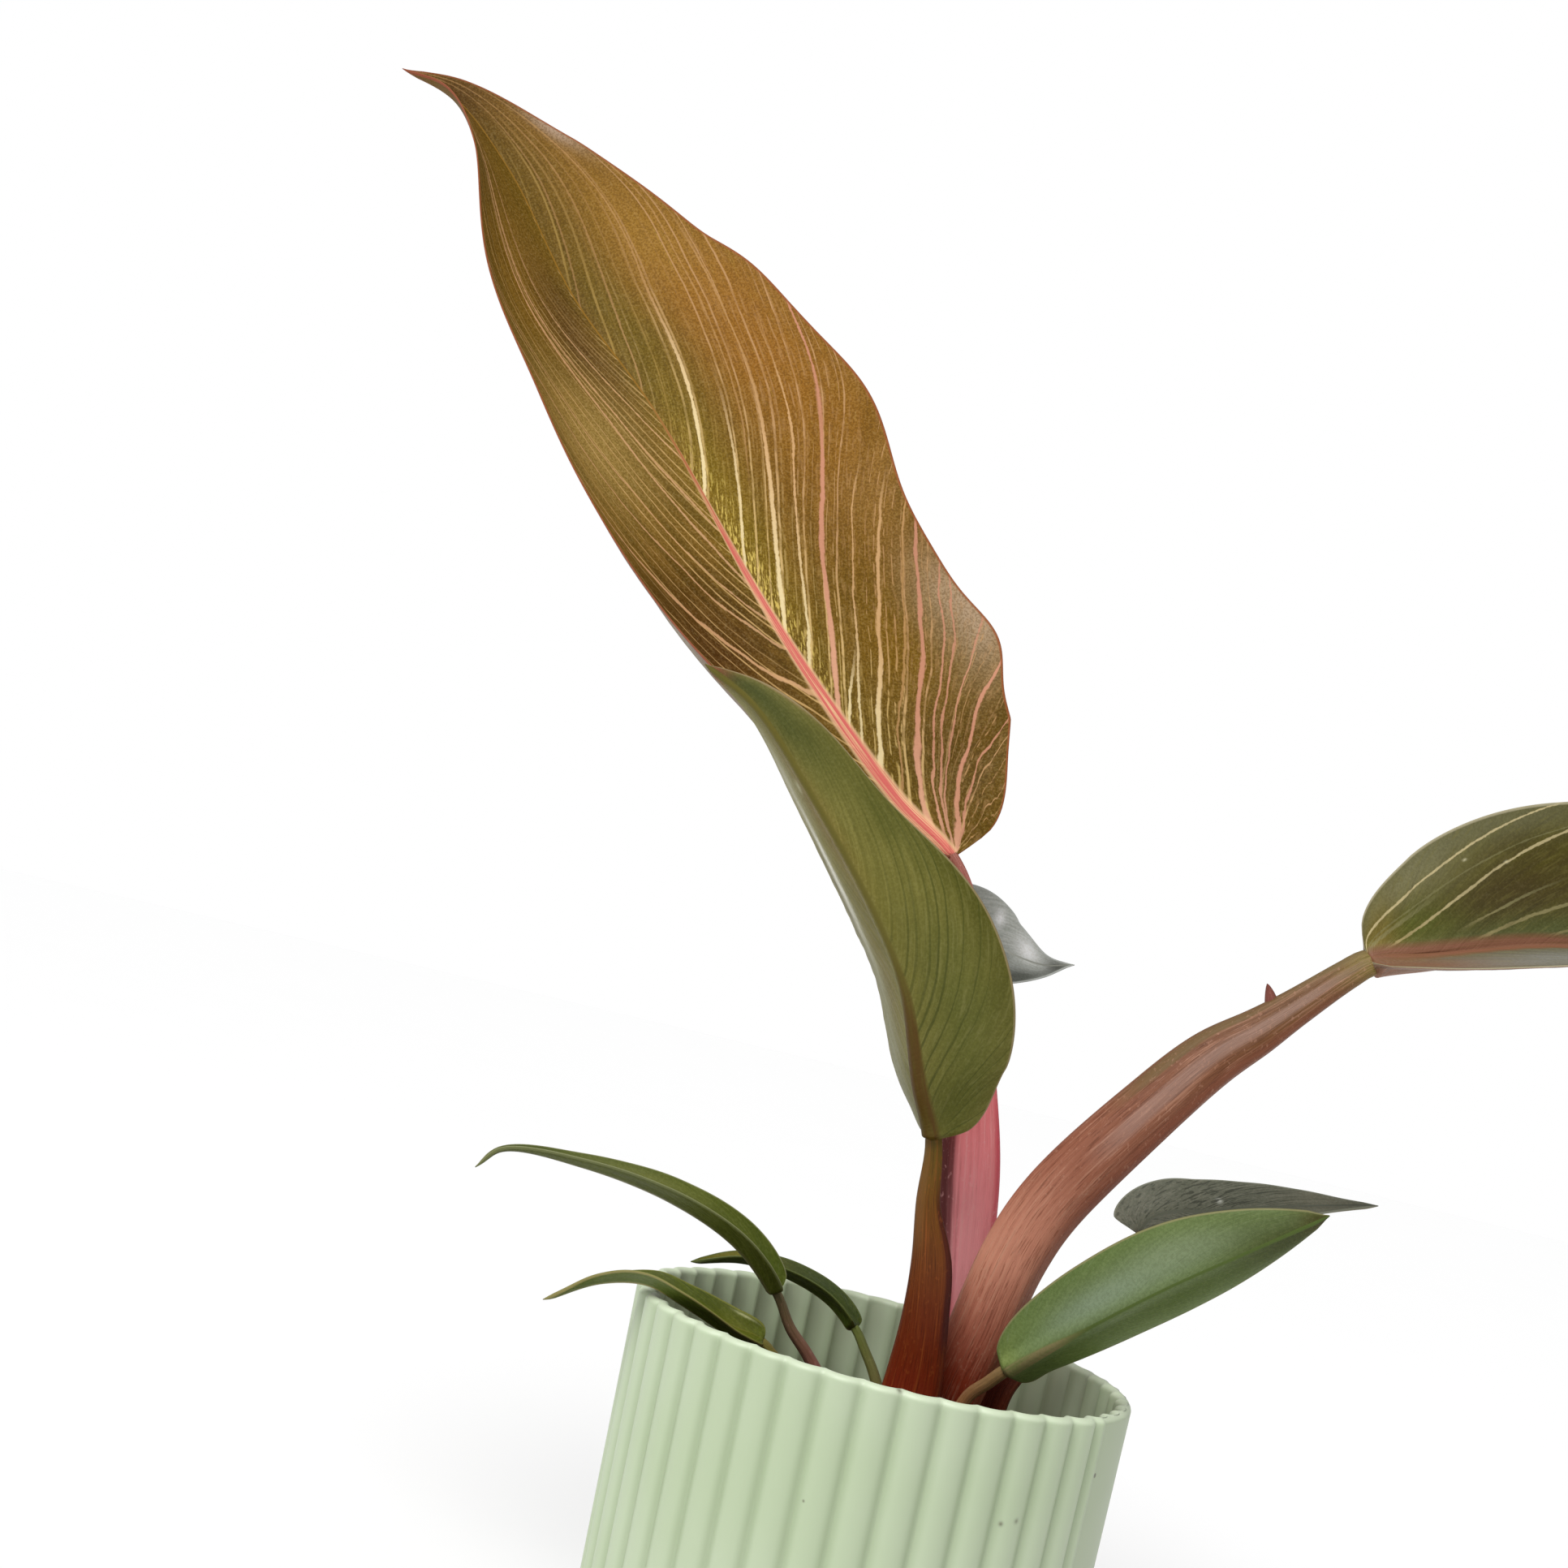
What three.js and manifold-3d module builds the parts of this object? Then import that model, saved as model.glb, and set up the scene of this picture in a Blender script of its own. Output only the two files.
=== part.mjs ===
// A young philodendron in a reeded 100 mm pot.
// Millimetres, +Z up. The origin is the centre of the pot's flat underside.

import * as THREE from 'three';
import { mergeVertices } from 'three/addons/utils/BufferGeometryUtils.js';
import Module from 'manifold-3d';

// Driving dimensions

const CLEARANCE = 0.3;

const POT = {
  height: 95,
  rimRadius: 50,
  taper: 0.04,
  wall: 2.6,
  floor: 3,
  footChamfer: 2.5,
  rimRound: 1.3,
  reeds: 44,
  reedDepth: 1.2,
  stepsPerReed: 4,
  firstGroove: -2,
  panelFrom: 58,
  panelTo: 124,
};

const MIX = {
  top: 73,
  lump: 0.9,
  rings: 9,
  sectors: 48,
};

const STEM = {
  centre: [12, 3],
  bottom: 30,
  top: 79,
  radius: 14.5,
  rootRadius: 9,
  sides: 28,
};

// A leaf's route runs from the foot of its stalk, through the point where the blade
// starts, to the tip. face is the way the upper side of the blade looks at its base,
// middle and tip. left and right are as seen on the upper side with the tip up.
// fold and curl are degrees at base, middle and tip: fold turns a half up at the midrib
// and curl bends it on towards its margin. swells are where a margin is ruffled: place
// along the blade, how far out, how far up, and span. stalk lists half-widths along the
// stalk, sheath what its left margin adds to them, and depth is its thickness over its width.
const LEAVES = {
  tall: {
    route: [[15, 9, 66], [15, 9, 92], [13, 9, 115], [10, 10, 137], [5, 12, 162], [-1, 13, 183],
      [-7.5, 14, 193], [-23, 18, 204.5], [-59.5, 25, 239.5], [-101.5, 31, 286.5], [-129, 34, 312],
      [-155, 36, 343.5], [-175, 36, 361], [-190, 35, 366]],
    bladeAt: 6,
    face: [[0.1, -1, 0.2], [0.1, -1, 0.2], [0.1, -1, 0.2]],
    left: { width: 40, fold: [5, 12, 70], curl: [115, 60, 25], swells: [] },
    right: {
      width: 44,
      fold: [5, 0, 0],
      curl: [0, 0, 0],
      swells: [[0.06, 3, -2, 0.04], [0.16, 6, -3, 0.05], [0.32, -2, 3, 0.06],
        [0.46, 4.5, 0, 0.08], [0.62, 5, 0, 0.08], [0.74, 4.5, 0, 0.08]],
    },
    widest: 0.42,
    base: 0.75,
    point: 1.25,
    stalk: [4.6, 4.8, 5, 5.2, 3.4, 1.8, 1.7],
    depth: 0.7,
    colour: 0x75661f,
    stalkColour: 0xc4606a,
  },
  front: {
    route: [[7, -8, 66], [7, -8.5, 80], [7.5, -9, 90], [7, -10, 100], [5, -11, 112],
      [3, -11, 123], [1.5, -10, 135],
      [-3, -14, 145], [-9.5, -20, 162], [-17.5, -24, 174], [-36, -27, 195], [-50.5, -28, 209],
      [-62, -28, 215]],
    bladeAt: 6,
    face: [[0.2, 1, 0.2], [0.2, 1, 0.2], [0.2, 1, 0.2]],
    left: { width: 19.5, fold: [10, 10, 20], curl: [20, 20, 20], swells: [[0.6, -3.4, 0, 0.15]] },
    right: { width: 24.5, fold: [50, 51, 50], curl: [20, 20, 20], swells: [] },
    widest: 0.28,
    base: 0.83,
    point: 1.17,
    stalk: [5.6, 5.9, 5.6, 4.4, 2.9, 2.35, 1.7],
    sheath: [0, 0, 0, 0.6, 2.2, 0, 0],
    depth: 0.6,
    colour: 0x55662f,
    stalkColour: 0x7a3220,
  },
  side: {
    route: [[14, 0.5, 66], [14.5, 0, 82], [18, -2, 100], [22, -2, 117], [27, -1, 128.5],
      [42.5, -0.5, 151], [52, 0, 163], [60, 0, 170.5], [66, 0.5, 176.5], [75.5, 1.5, 186],
      [79, 2, 189],
      [90, 4, 193], [118, 10, 202], [158, 22, 206], [190, 30, 201], [210, 34, 193]],
    bladeAt: 10,
    face: [[0, -0.9, 0.4], [0, -0.9, 0.4], [0, -0.8, 0.5]],
    left: { width: 30.5, fold: [20, 20, 20], curl: [10, 10, 10], swells: [] },
    right: { width: 31, fold: [52, 52, 52], curl: [10, 10, 10], swells: [] },
    widest: 0.46,
    base: 0.8,
    point: 1,
    stalk: [5.4, 5.8, 6.4, 6.8, 6.9, 6.3, 5.4, 3.7, 1.8],
    depth: 0.6,
    colour: 0x6f7a35,
    stalkColour: 0xa8695a,
  },
  back: {
    route: [[13, 16, 66], [13.5, 16, 92], [13, 18, 112], [8, 26, 136], [-3, 36, 160],
      [-11, 40, 172], [-14, 39, 177.5], [-1.5, 42.5, 181], [10, 46, 178], [18, 47.5, 177.2],
      [25, 48, 179]],
    bladeAt: 6,
    face: [[0.2, -0.9, 0.5], [0.2, -0.9, 0.5], [0.2, -0.9, 0.5]],
    left: { width: 11, fold: [10, 10, 10], curl: [0, 0, 0], swells: [] },
    right: { width: 13, fold: [10, 10, 10], curl: [0, 0, 0], swells: [] },
    widest: 0.36,
    base: 0.7,
    point: 1.85,
    stalk: [2.4, 2.3, 2.1, 1.8, 1.5, 1.2],
    depth: 0.8,
    colour: 0x8a9490,
    stalkColour: 0x7d4a36,
  },
  low_right: {
    route: [[24, 6, 66], [24, 6, 80], [25, 6.5, 89.5], [30.5, 9.5, 98.5], [36.5, 13.5, 107],
      [42, 18, 115], [46.5, 22, 121], [48.5, 24, 124.5], [50, 25, 127.5], [54, 26, 130],
      [61, 27, 132], [73.5, 28, 136], [96.5, 30, 142]],
    bladeAt: 7,
    face: [[-0.5, -0.6, 0.5], [-0.2, -0.6, 0.8], [0, -0.6, 0.8]],
    left: { width: 8.6, fold: [10, 10, 10], curl: [0, 0, 0], swells: [] },
    right: { width: 6, fold: [10, 10, 10], curl: [0, 0, 0], swells: [] },
    widest: 0.17,
    base: 0.33,
    point: 1.4,
    stalk: [3, 3.1, 3.1, 3, 2.7, 2.2, 1.7, 1.3],
    depth: 0.6,
    colour: 0x4d5750,
    stalkColour: 0x7c4634,
  },
  near_right: {
    route: [[16, -11, 66], [16, -11, 82], [18, -12, 90], [21, -13, 93.5], [23.5, -14, 96.5],
      [31.5, -17, 104.5], [47.5, -22, 119], [61, -26, 130], [73, -29, 139.5]],
    bladeAt: 4,
    face: [[0, 1, 0.2], [0, 1, 0.2], [0, 1, 0.2]],
    left: { width: 7.6, fold: [25, 25, 25], curl: [10, 10, 10], swells: [[0.03, 1.2, 0, 0.05]] },
    right: { width: 10, fold: [10, 10, 10], curl: [10, 10, 10], swells: [] },
    widest: 0.5,
    base: 0.8,
    point: 1,
    stalk: [1.6, 1.6, 1.4, 1.2, 1.2],
    depth: 0.8,
    colour: 0x62824f,
    stalkColour: 0x9a6a4c,
  },
  long_left: {
    route: [[-4, -3, 66], [-7, -3.5, 80], [-13.5, -5, 88.5], [-18, -6.5, 93], [-22, -8, 99],
      [-31, -12, 107], [-45, -16, 112.5], [-63, -19, 115], [-79.5, -21, 114.2],
      [-83.5, -22, 109.8]],
    bladeAt: 4,
    face: [[0.6, -0.3, 0.7], [0.2, -0.35, 0.94], [0, -0.35, 0.9]],
    left: { width: 4.2, fold: [50, 50, 50], curl: [0, 0, 0], swells: [] },
    right: { width: 5.5, fold: [30, 15, 15], curl: [0, 0, 0], swells: [] },
    widest: 0.22,
    base: 0.4,
    point: 1.6,
    stalk: [1.6, 1.6, 1.5, 1.3, 1.1],
    depth: 0.8,
    colour: 0x5d6b4a,
    stalkColour: 0x8c5f56,
  },
  rim_left: {
    route: [[-2, -13, 66], [-6, -13.5, 79], [-13, -15, 85.5], [-18.5, -17, 88.5],
      [-22, -18, 91], [-28, -20, 92.4], [-37.5, -22, 95.6], [-45, -22, 97.4], [-54.5, -20, 95],
      [-65, -18, 88.5]],
    bladeAt: 4,
    face: [[0.4, -0.6, 0.7], [0, -0.3, 1], [-0.4, -0.2, 0.9]],
    left: { width: 4.5, fold: [45, 45, 45], curl: [0, 0, 0], swells: [] },
    right: { width: 3.6, fold: [40, 15, 15], curl: [0, 0, 0], swells: [] },
    widest: 0.25,
    base: 0.5,
    point: 1.6,
    stalk: [1.5, 1.5, 1.4, 1.2, 1.1],
    depth: 0.8,
    colour: 0x4d6427,
    stalkColour: 0x77603a,
  },
  rim_back: {
    route: [[4, 10, 66], [3, 12, 78], [0, 14, 84.5], [-3, 16, 88.5], [-6, 18, 92],
      [-12, 20, 96], [-20.5, 21, 98.5], [-32, 20, 99.5], [-43, 17, 97]],
    bladeAt: 4,
    face: [[0.4, -0.3, 0.9], [0, -0.3, 1], [-0.3, -0.3, 1]],
    left: { width: 3.6, fold: [40, 40, 40], curl: [0, 0, 0], swells: [] },
    right: { width: 3.2, fold: [30, 30, 30], curl: [0, 0, 0], swells: [] },
    widest: 0.35,
    base: 0.5,
    point: 1,
    stalk: [1.5, 1.5, 1.4, 1.2, 1.1],
    depth: 0.8,
    colour: 0x55702f,
    stalkColour: 0x76703c,
  },
};

const BLADE = {
  thickness: 0.7,
  midribDepth: 1.1,
  midribSpan: 0.09,
  baseHalfWidth: 0.6,
  tipHalfWidth: 0.3,
  rowSpacing: 6.5,
  fewestRows: 13,
  crowding: 1.2,
  wideHalf: 15,
};

// Places across half a blade, from the midrib to the margin.
const ACROSS_WIDE = [0.1, 0.3, 0.55, 0.8, 1];
const ACROSS_NARROW = [0.15, 0.55, 1];

const STALK = {
  sides: 12,
  rowSpacing: 7,
};

const wasm = await Module();
wasm.setup();

// Closed solids

function solidFrom(geometry) {
  geometry.deleteAttribute('normal');
  geometry.deleteAttribute('uv');
  const merged = mergeVertices(geometry, 1e-4);
  return new wasm.Manifold(new wasm.Mesh({
    numProp: 3,
    vertProperties: new Float32Array(merged.attributes.position.array),
    triVerts: new Uint32Array(merged.index.array),
  }));
}

function geometryFrom(solid) {
  const pieces = solid.decompose();
  pieces.sort((one, other) => other.volume() - one.volume());
  const mesh = pieces[0].getMesh();
  const geometry = new THREE.BufferGeometry();
  geometry.setAttribute('position', new THREE.BufferAttribute(mesh.vertProperties, 3));
  geometry.setIndex(new THREE.BufferAttribute(mesh.triVerts, 1));
  return geometry;
}

// Joins a list of closed rings of equal count into a skin, with its two ends closed by fans.
function ringSkin(rings) {
  const count = rings[0].length;
  const positions = rings.flat().flatMap((point) => [point.x, point.y, point.z]);
  const faces = [];
  for (let row = 0; row + 1 < rings.length; row += 1) {
    for (let step = 0; step < count; step += 1) {
      const next = (step + 1) % count;
      const low = row * count;
      const high = low + count;
      faces.push(low + step, low + next, high + next);
      faces.push(low + step, high + next, high + step);
    }
  }
  const ends = [[0, false], [rings.length - 1, true]];
  for (const [row, upward] of ends) {
    const middle = positions.length / 3;
    const centre = new THREE.Vector3();
    rings[row].forEach((point) => centre.addScaledVector(point, 1 / count));
    positions.push(centre.x, centre.y, centre.z);
    for (let step = 0; step < count; step += 1) {
      const here = row * count + step;
      const next = row * count + (step + 1) % count;
      faces.push(...(upward ? [middle, here, next] : [middle, next, here]));
    }
  }
  const geometry = new THREE.BufferGeometry();
  geometry.setAttribute('position', new THREE.Float32BufferAttribute(positions, 3));
  geometry.setIndex(faces);
  return geometry;
}

// Pot

// Azimuth is in degrees from the front, -Y, turning towards +X.
function onCircle(azimuth, radius, z) {
  const angle = THREE.MathUtils.degToRad(azimuth);
  return new THREE.Vector3(radius * Math.sin(angle), -radius * Math.cos(angle), z);
}

function reedInset(azimuth, step) {
  const onPanel = azimuth > POT.panelFrom && azimuth < POT.panelTo;
  const across = 2 * step / POT.stepsPerReed - 1;
  return onPanel ? POT.reedDepth / 2 : POT.reedDepth * across * across;
}

function potRing(radius, z, relief) {
  const pitch = 360 / POT.reeds;
  const ring = [];
  for (let reed = 0; reed < POT.reeds; reed += 1) {
    for (let step = 0; step < POT.stepsPerReed; step += 1) {
      const turn = POT.firstGroove + pitch * (reed + step / POT.stepsPerReed);
      const azimuth = turn > 180 ? turn - 360 : turn;
      ring.push(onCircle(azimuth, radius - relief * reedInset(azimuth, step), z));
    }
  }
  return ring;
}

function outerRadius(z) {
  return POT.rimRadius - POT.taper * (POT.height - z);
}

function innerRadius(z) {
  return outerRadius(z) - POT.wall;
}

function potGeometry() {
  const { height, wall, floor, footChamfer, rimRound } = POT;
  const shoulder = height - rimRound;
  const profile = [
    [outerRadius(0) - footChamfer - POT.reedDepth, 0, 0],
    [outerRadius(footChamfer), footChamfer, 1],
    [outerRadius(shoulder), shoulder, 1],
    [outerRadius(height) - wall * 0.2, height - rimRound * 0.25, 1],
    [outerRadius(height) - wall * 0.5, height, 1],
    [outerRadius(height) - wall * 0.8, height - rimRound * 0.25, 1],
    [innerRadius(shoulder), shoulder, 1],
    [innerRadius(floor), floor, 1],
  ];
  return ringSkin(profile.map(([radius, z, relief]) => potRing(radius, z, relief)));
}

// Routes

function densePoints(route, count) {
  const points = route.map((place) => new THREE.Vector3(...place));
  return new THREE.CatmullRomCurve3(points, false, 'centripetal').getPoints(count);
}

function lengthOf(points) {
  return points.slice(1).reduce((sum, point, index) => sum + point.distanceTo(points[index]), 0);
}

// Places along a stretch of points, with the heading at each. Crowding over 1 brings them
// closer together at the start.
function placesAlong(points, count, crowding) {
  const line = new THREE.CurvePath();
  for (let index = 0; index + 1 < points.length; index += 1) {
    line.add(new THREE.LineCurve3(points[index], points[index + 1]));
  }
  const places = Array.from({ length: count }, (_, index) => (
    line.getPointAt((index / (count - 1)) ** crowding)));
  const heading = places.map((place, index) => {
    const before = index > 0 ? places[index - 1] : place;
    const after = index + 1 < count ? places[index + 1] : place;
    return after.clone().sub(before).normalize();
  });
  heading[0].subVectors(points[1], points[0]).normalize();
  heading[count - 1].subVectors(points.at(-1), points.at(-2)).normalize();
  return { places, heading };
}

function stretches(leaf) {
  const perSpan = 24;
  const dense = densePoints(leaf.route, perSpan * (leaf.route.length - 1));
  const start = perSpan * leaf.bladeAt;
  return { stalk: dense.slice(0, start + 1), blade: dense.slice(start) };
}

// A smooth value through a list of evenly spaced ones.
function through(values, t) {
  const points = values.map((value, index) => new THREE.Vector2(index, value));
  return new THREE.SplineCurve(points).getPoint(t).y;
}

// A smooth value through those given at base, middle and tip.
function along([base, middle, tip], t) {
  return base * (1 - t) * (1 - 2 * t) + 4 * middle * t * (1 - t) + tip * t * (2 * t - 1);
}

// Blades

function bladeOutline(leaf, t) {
  const rising = Math.min(t / leaf.widest, 1);
  const falling = Math.max((t - leaf.widest) / (1 - leaf.widest), 0);
  const base = Math.sqrt(1 - (1 - rising) ** 2) ** leaf.base;
  return base * (1 - falling ** 2) ** leaf.point;
}

function placesAcross(leaf) {
  return leaf.left.width > BLADE.wideHalf ? ACROSS_WIDE : ACROSS_NARROW;
}

// Points of one half of the blade at a row, from the midrib outwards.
function halfRow(place, sideways, upwards, half, leaf, t) {
  const end = THREE.MathUtils.lerp(BLADE.baseHalfWidth, BLADE.tipHalfWidth, t);
  const width = half.width * bladeOutline(leaf, t) + end;
  const fold = along(half.fold, t);
  const curl = along(half.curl, t);
  let out = 0;
  let up = 0;
  for (const [where, outwards, lift, span] of half.swells) {
    const share = Math.exp(-(((t - where) / span) ** 2));
    out += outwards * share;
    up += lift * share;
  }
  const row = [];
  const point = place.clone();
  let last = 0;
  for (const across of placesAcross(leaf)) {
    const angle = THREE.MathUtils.degToRad(fold + curl * (last + across) / 2);
    const stride = (across - last) * width;
    point.addScaledVector(sideways, stride * Math.cos(angle));
    point.addScaledVector(upwards, stride * Math.sin(angle));
    row.push(point.clone()
      .addScaledVector(upwards, up * across * across)
      .addScaledVector(sideways, out * across * across));
    last = across;
  }
  return row;
}

function bladeSheet(leaf) {
  const { blade } = stretches(leaf);
  const rows = Math.max(Math.round(lengthOf(blade) / BLADE.rowSpacing), BLADE.fewestRows) + 1;
  const { places, heading } = placesAlong(blade, rows, BLADE.crowding);
  const sheet = places.map((place, index) => {
    const t = (index / (rows - 1)) ** BLADE.crowding;
    const face = new THREE.Vector3(...[0, 1, 2].map((axis) => (
      along(leaf.face.map((direction) => direction[axis]), t))));
    const upwards = face.addScaledVector(heading[index], -face.dot(heading[index])).normalize();
    const toRight = heading[index].clone().cross(upwards);
    const left = halfRow(place, toRight.clone().negate(), upwards, leaf.left, leaf, t);
    const right = halfRow(place, toRight, upwards, leaf.right, leaf, t);
    return [...left.reverse(), place, ...right];
  });
  return { sheet, heading };
}

// Square to the sheet, and to the heading, so that the ends of the blade stay flat.
function sheetNormal(sheet, heading, row, column) {
  const rows = sheet.length;
  const columns = sheet[0].length;
  const forward = sheet[Math.min(row + 1, rows - 1)][column].clone()
    .sub(sheet[Math.max(row - 1, 0)][column]);
  const across = sheet[row][Math.min(column + 1, columns - 1)].clone()
    .sub(sheet[row][Math.max(column - 1, 0)]);
  const normal = across.cross(forward);
  return normal.addScaledVector(heading[row], -normal.dot(heading[row])).normalize();
}

// The upper face is the sheet itself; the lower one lies under it, deeper at the midrib.
function bladeGeometry(leaf) {
  const { sheet, heading } = bladeSheet(leaf);
  const columns = sheet[0].length;
  const across = placesAcross(leaf);
  const places = [...across.map((place) => -place).reverse(), 0, ...across];
  const under = sheet.map((line, row) => line.map((point, column) => {
    const rib = Math.exp(-((places[column] / BLADE.midribSpan) ** 2));
    const fade = 1 - row / (sheet.length - 1);
    const depth = BLADE.thickness + BLADE.midribDepth * rib * fade;
    const normal = sheetNormal(sheet, heading, row, column);
    return point.clone().addScaledVector(normal, -depth);
  }));
  const points = [...sheet.flat(), ...under.flat()];
  const lower = sheet.flat().length;
  const faces = [];
  const quad = (a, b, c, d) => faces.push(a, b, c, a, c, d);
  for (let row = 0; row + 1 < sheet.length; row += 1) {
    for (let column = 0; column + 1 < columns; column += 1) {
      const here = row * columns + column;
      const ahead = here + columns;
      quad(here, here + 1, ahead + 1, ahead);
      faces.push(lower + here, lower + ahead + 1, lower + here + 1);
      faces.push(lower + here, lower + ahead, lower + ahead + 1);
    }
    const first = row * columns;
    const last = first + columns - 1;
    quad(first, first + columns, lower + first + columns, lower + first);
    quad(last, lower + last, lower + last + columns, last + columns);
  }
  const tip = (sheet.length - 1) * columns;
  for (let column = 0; column + 1 < columns; column += 1) {
    quad(column, lower + column, lower + column + 1, column + 1);
    quad(tip + column, tip + column + 1, lower + tip + column + 1, lower + tip + column);
  }
  const geometry = new THREE.BufferGeometry();
  geometry.setAttribute('position', new THREE.Float32BufferAttribute(
    points.flatMap((point) => [point.x, point.y, point.z]), 3));
  geometry.setIndex(faces);
  return geometry;
}

// Stalks

function stalkGeometry(leaf, growth) {
  const { stalk } = stretches(leaf);
  const rows = Math.round(lengthOf(stalk) / STALK.rowSpacing) + 1;
  const { places, heading } = placesAlong(stalk, rows, 1);
  const end = places[rows - 1];
  const face = new THREE.Vector3(...leaf.face[0]);
  end.addScaledVector(heading[rows - 1], growth - CLEARANCE);
  places[0].addScaledVector(heading[0], -growth);
  const rings = places.map((place, index) => {
    const t = index / (rows - 1);
    const half = through(leaf.stalk, t) + growth;
    const sheath = leaf.sheath ? Math.max(through(leaf.sheath, t), 0) : 0;
    const upwards = face.clone().addScaledVector(heading[index], -face.dot(heading[index]));
    upwards.normalize();
    const toRight = heading[index].clone().cross(upwards);
    const thick = (half - growth) * leaf.depth + growth;
    return Array.from({ length: STALK.sides }, (_, side) => {
      const angle = 2 * Math.PI * side / STALK.sides;
      const wing = Math.cos(angle) < 0 ? sheath : 0;
      return place.clone().addScaledVector(toRight, (half + wing) * Math.cos(angle))
        .addScaledVector(upwards, -thick * Math.sin(angle));
    });
  });
  return ringSkin(rings);
}

// Stem and potting mix

function stemRings(growth) {
  const { centre, bottom, top, radius, rootRadius, sides } = STEM;
  const levels = [[bottom, rootRadius * 0.6], [bottom + 12, rootRadius], [top - 14, radius * 0.9],
    [top - 4, radius], [top, radius * 0.8]];
  return levels.map(([z, reach], level) => Array.from({ length: sides }, (_, side) => {
    const angle = 2 * Math.PI * side / sides;
    const bark = 0.4 * Math.sin(3 * angle + level) + growth;
    const height = z + (level === 0 ? -growth : 0);
    return new THREE.Vector3(
      centre[0] + (reach + bark) * Math.cos(angle),
      centre[1] + (reach + bark) * Math.sin(angle),
      height);
  }));
}

function stemGeometry() {
  const sockets = Object.values(LEAVES).map((leaf) => (
    solidFrom(stalkGeometry(leaf, CLEARANCE))));
  const whole = solidFrom(ringSkin(stemRings(0)));
  return geometryFrom(sockets.reduce((body, socket) => body.subtract(socket), whole));
}

function mixHeight(angle, share) {
  const lumps = Math.sin(5 * angle + 9 * share) + Math.sin(11 * angle - 14 * share);
  return MIX.top + MIX.lump * lumps * Math.sin(Math.PI * share) - 1.5 * share ** 4;
}

function mixGeometry() {
  const foot = POT.floor + CLEARANCE;
  const reach = (z) => innerRadius(z) - POT.reedDepth - CLEARANCE;
  const rings = [[reach(foot), () => foot], [reach(MIX.top - 3), (angle) => mixHeight(angle, 1)]];
  for (let ring = MIX.rings - 1; ring > 0; ring -= 1) {
    const share = ring / MIX.rings;
    rings.push([reach(MIX.top - 3) * share, (angle) => mixHeight(angle, share)]);
  }
  const skin = ringSkin(rings.map(([radius, height]) => (
    Array.from({ length: MIX.sectors }, (_, step) => {
      const angle = 2 * Math.PI * step / MIX.sectors;
      return new THREE.Vector3(radius * Math.cos(angle), radius * Math.sin(angle), height(angle));
    }))));
  const holes = Object.values(LEAVES).map((leaf) => solidFrom(stalkGeometry(leaf, CLEARANCE)));
  holes.push(solidFrom(ringSkin(stemRings(CLEARANCE))));
  return geometryFrom(holes.reduce((body, hole) => body.subtract(hole), solidFrom(skin)));
}

// The plant in its pot

function piece(name, geometry, color, roughness) {
  const mesh = new THREE.Mesh(
    geometry, new THREE.MeshStandardMaterial({ color, roughness, metalness: 0 }));
  mesh.name = name;
  return mesh;
}

const plant = new THREE.Group();
plant.add(piece('pot', potGeometry(), 0xc3d4b4, 0.45));
plant.add(piece('potting_mix', mixGeometry(), 0x3a2a1e, 0.95));
plant.add(piece('stem', stemGeometry(), 0x6b4a2e, 0.8));
for (const [name, leaf] of Object.entries(LEAVES)) {
  plant.add(piece(`stalk_${name}`, stalkGeometry(leaf, 0), leaf.stalkColour, 0.45));
  plant.add(piece(`blade_${name}`, bladeGeometry(leaf), leaf.colour, 0.4));
}

export default plant;
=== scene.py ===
"""A young philodendron in a reeded pot, dressed around its CAD frame."""

import math

import bpy
import numpy as np
from mathutils import Matrix, Vector, noise


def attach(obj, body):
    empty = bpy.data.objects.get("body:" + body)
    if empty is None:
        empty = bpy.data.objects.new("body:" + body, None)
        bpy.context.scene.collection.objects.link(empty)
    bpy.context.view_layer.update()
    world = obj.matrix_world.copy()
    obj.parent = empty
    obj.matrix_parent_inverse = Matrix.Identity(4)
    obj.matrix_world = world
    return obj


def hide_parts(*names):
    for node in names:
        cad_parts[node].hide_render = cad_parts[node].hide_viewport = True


bl_info = {
    "name": "Potted philodendron",
    "version": (1, 0, 0),
    "blender": (4, 5, 0),
    "location": "3D View > Sidebar > Philodendron",
    "description": "Makes a potted philodendron around its CAD frame",
    "category": "Add Mesh",
}

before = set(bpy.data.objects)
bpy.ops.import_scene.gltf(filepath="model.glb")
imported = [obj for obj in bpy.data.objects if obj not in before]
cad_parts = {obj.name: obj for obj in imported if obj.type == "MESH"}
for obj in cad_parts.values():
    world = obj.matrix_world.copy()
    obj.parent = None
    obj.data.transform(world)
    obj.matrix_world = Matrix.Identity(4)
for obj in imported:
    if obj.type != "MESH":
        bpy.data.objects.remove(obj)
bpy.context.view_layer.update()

MM = 0.001

# The part's driving values, in millimetres

STEM = dict(centre=(12, 3), heights=(30, 42, 65, 74, 77, 79), radii=(5.4, 9, 13, 14.2, 12.5, 7))


def half(width, fold, curl=0, swells=()):
    """One half of a blade. Fold and curl are degrees, even or at base, middle and tip.

    A swell is place, millimetres outwards and upwards, and span.
    """
    fold, curl = (value if isinstance(value, tuple) else (value,) * 3 for value in (fold, curl))
    return dict(width=width, fold=fold, curl=curl, swells=swells)


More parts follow.
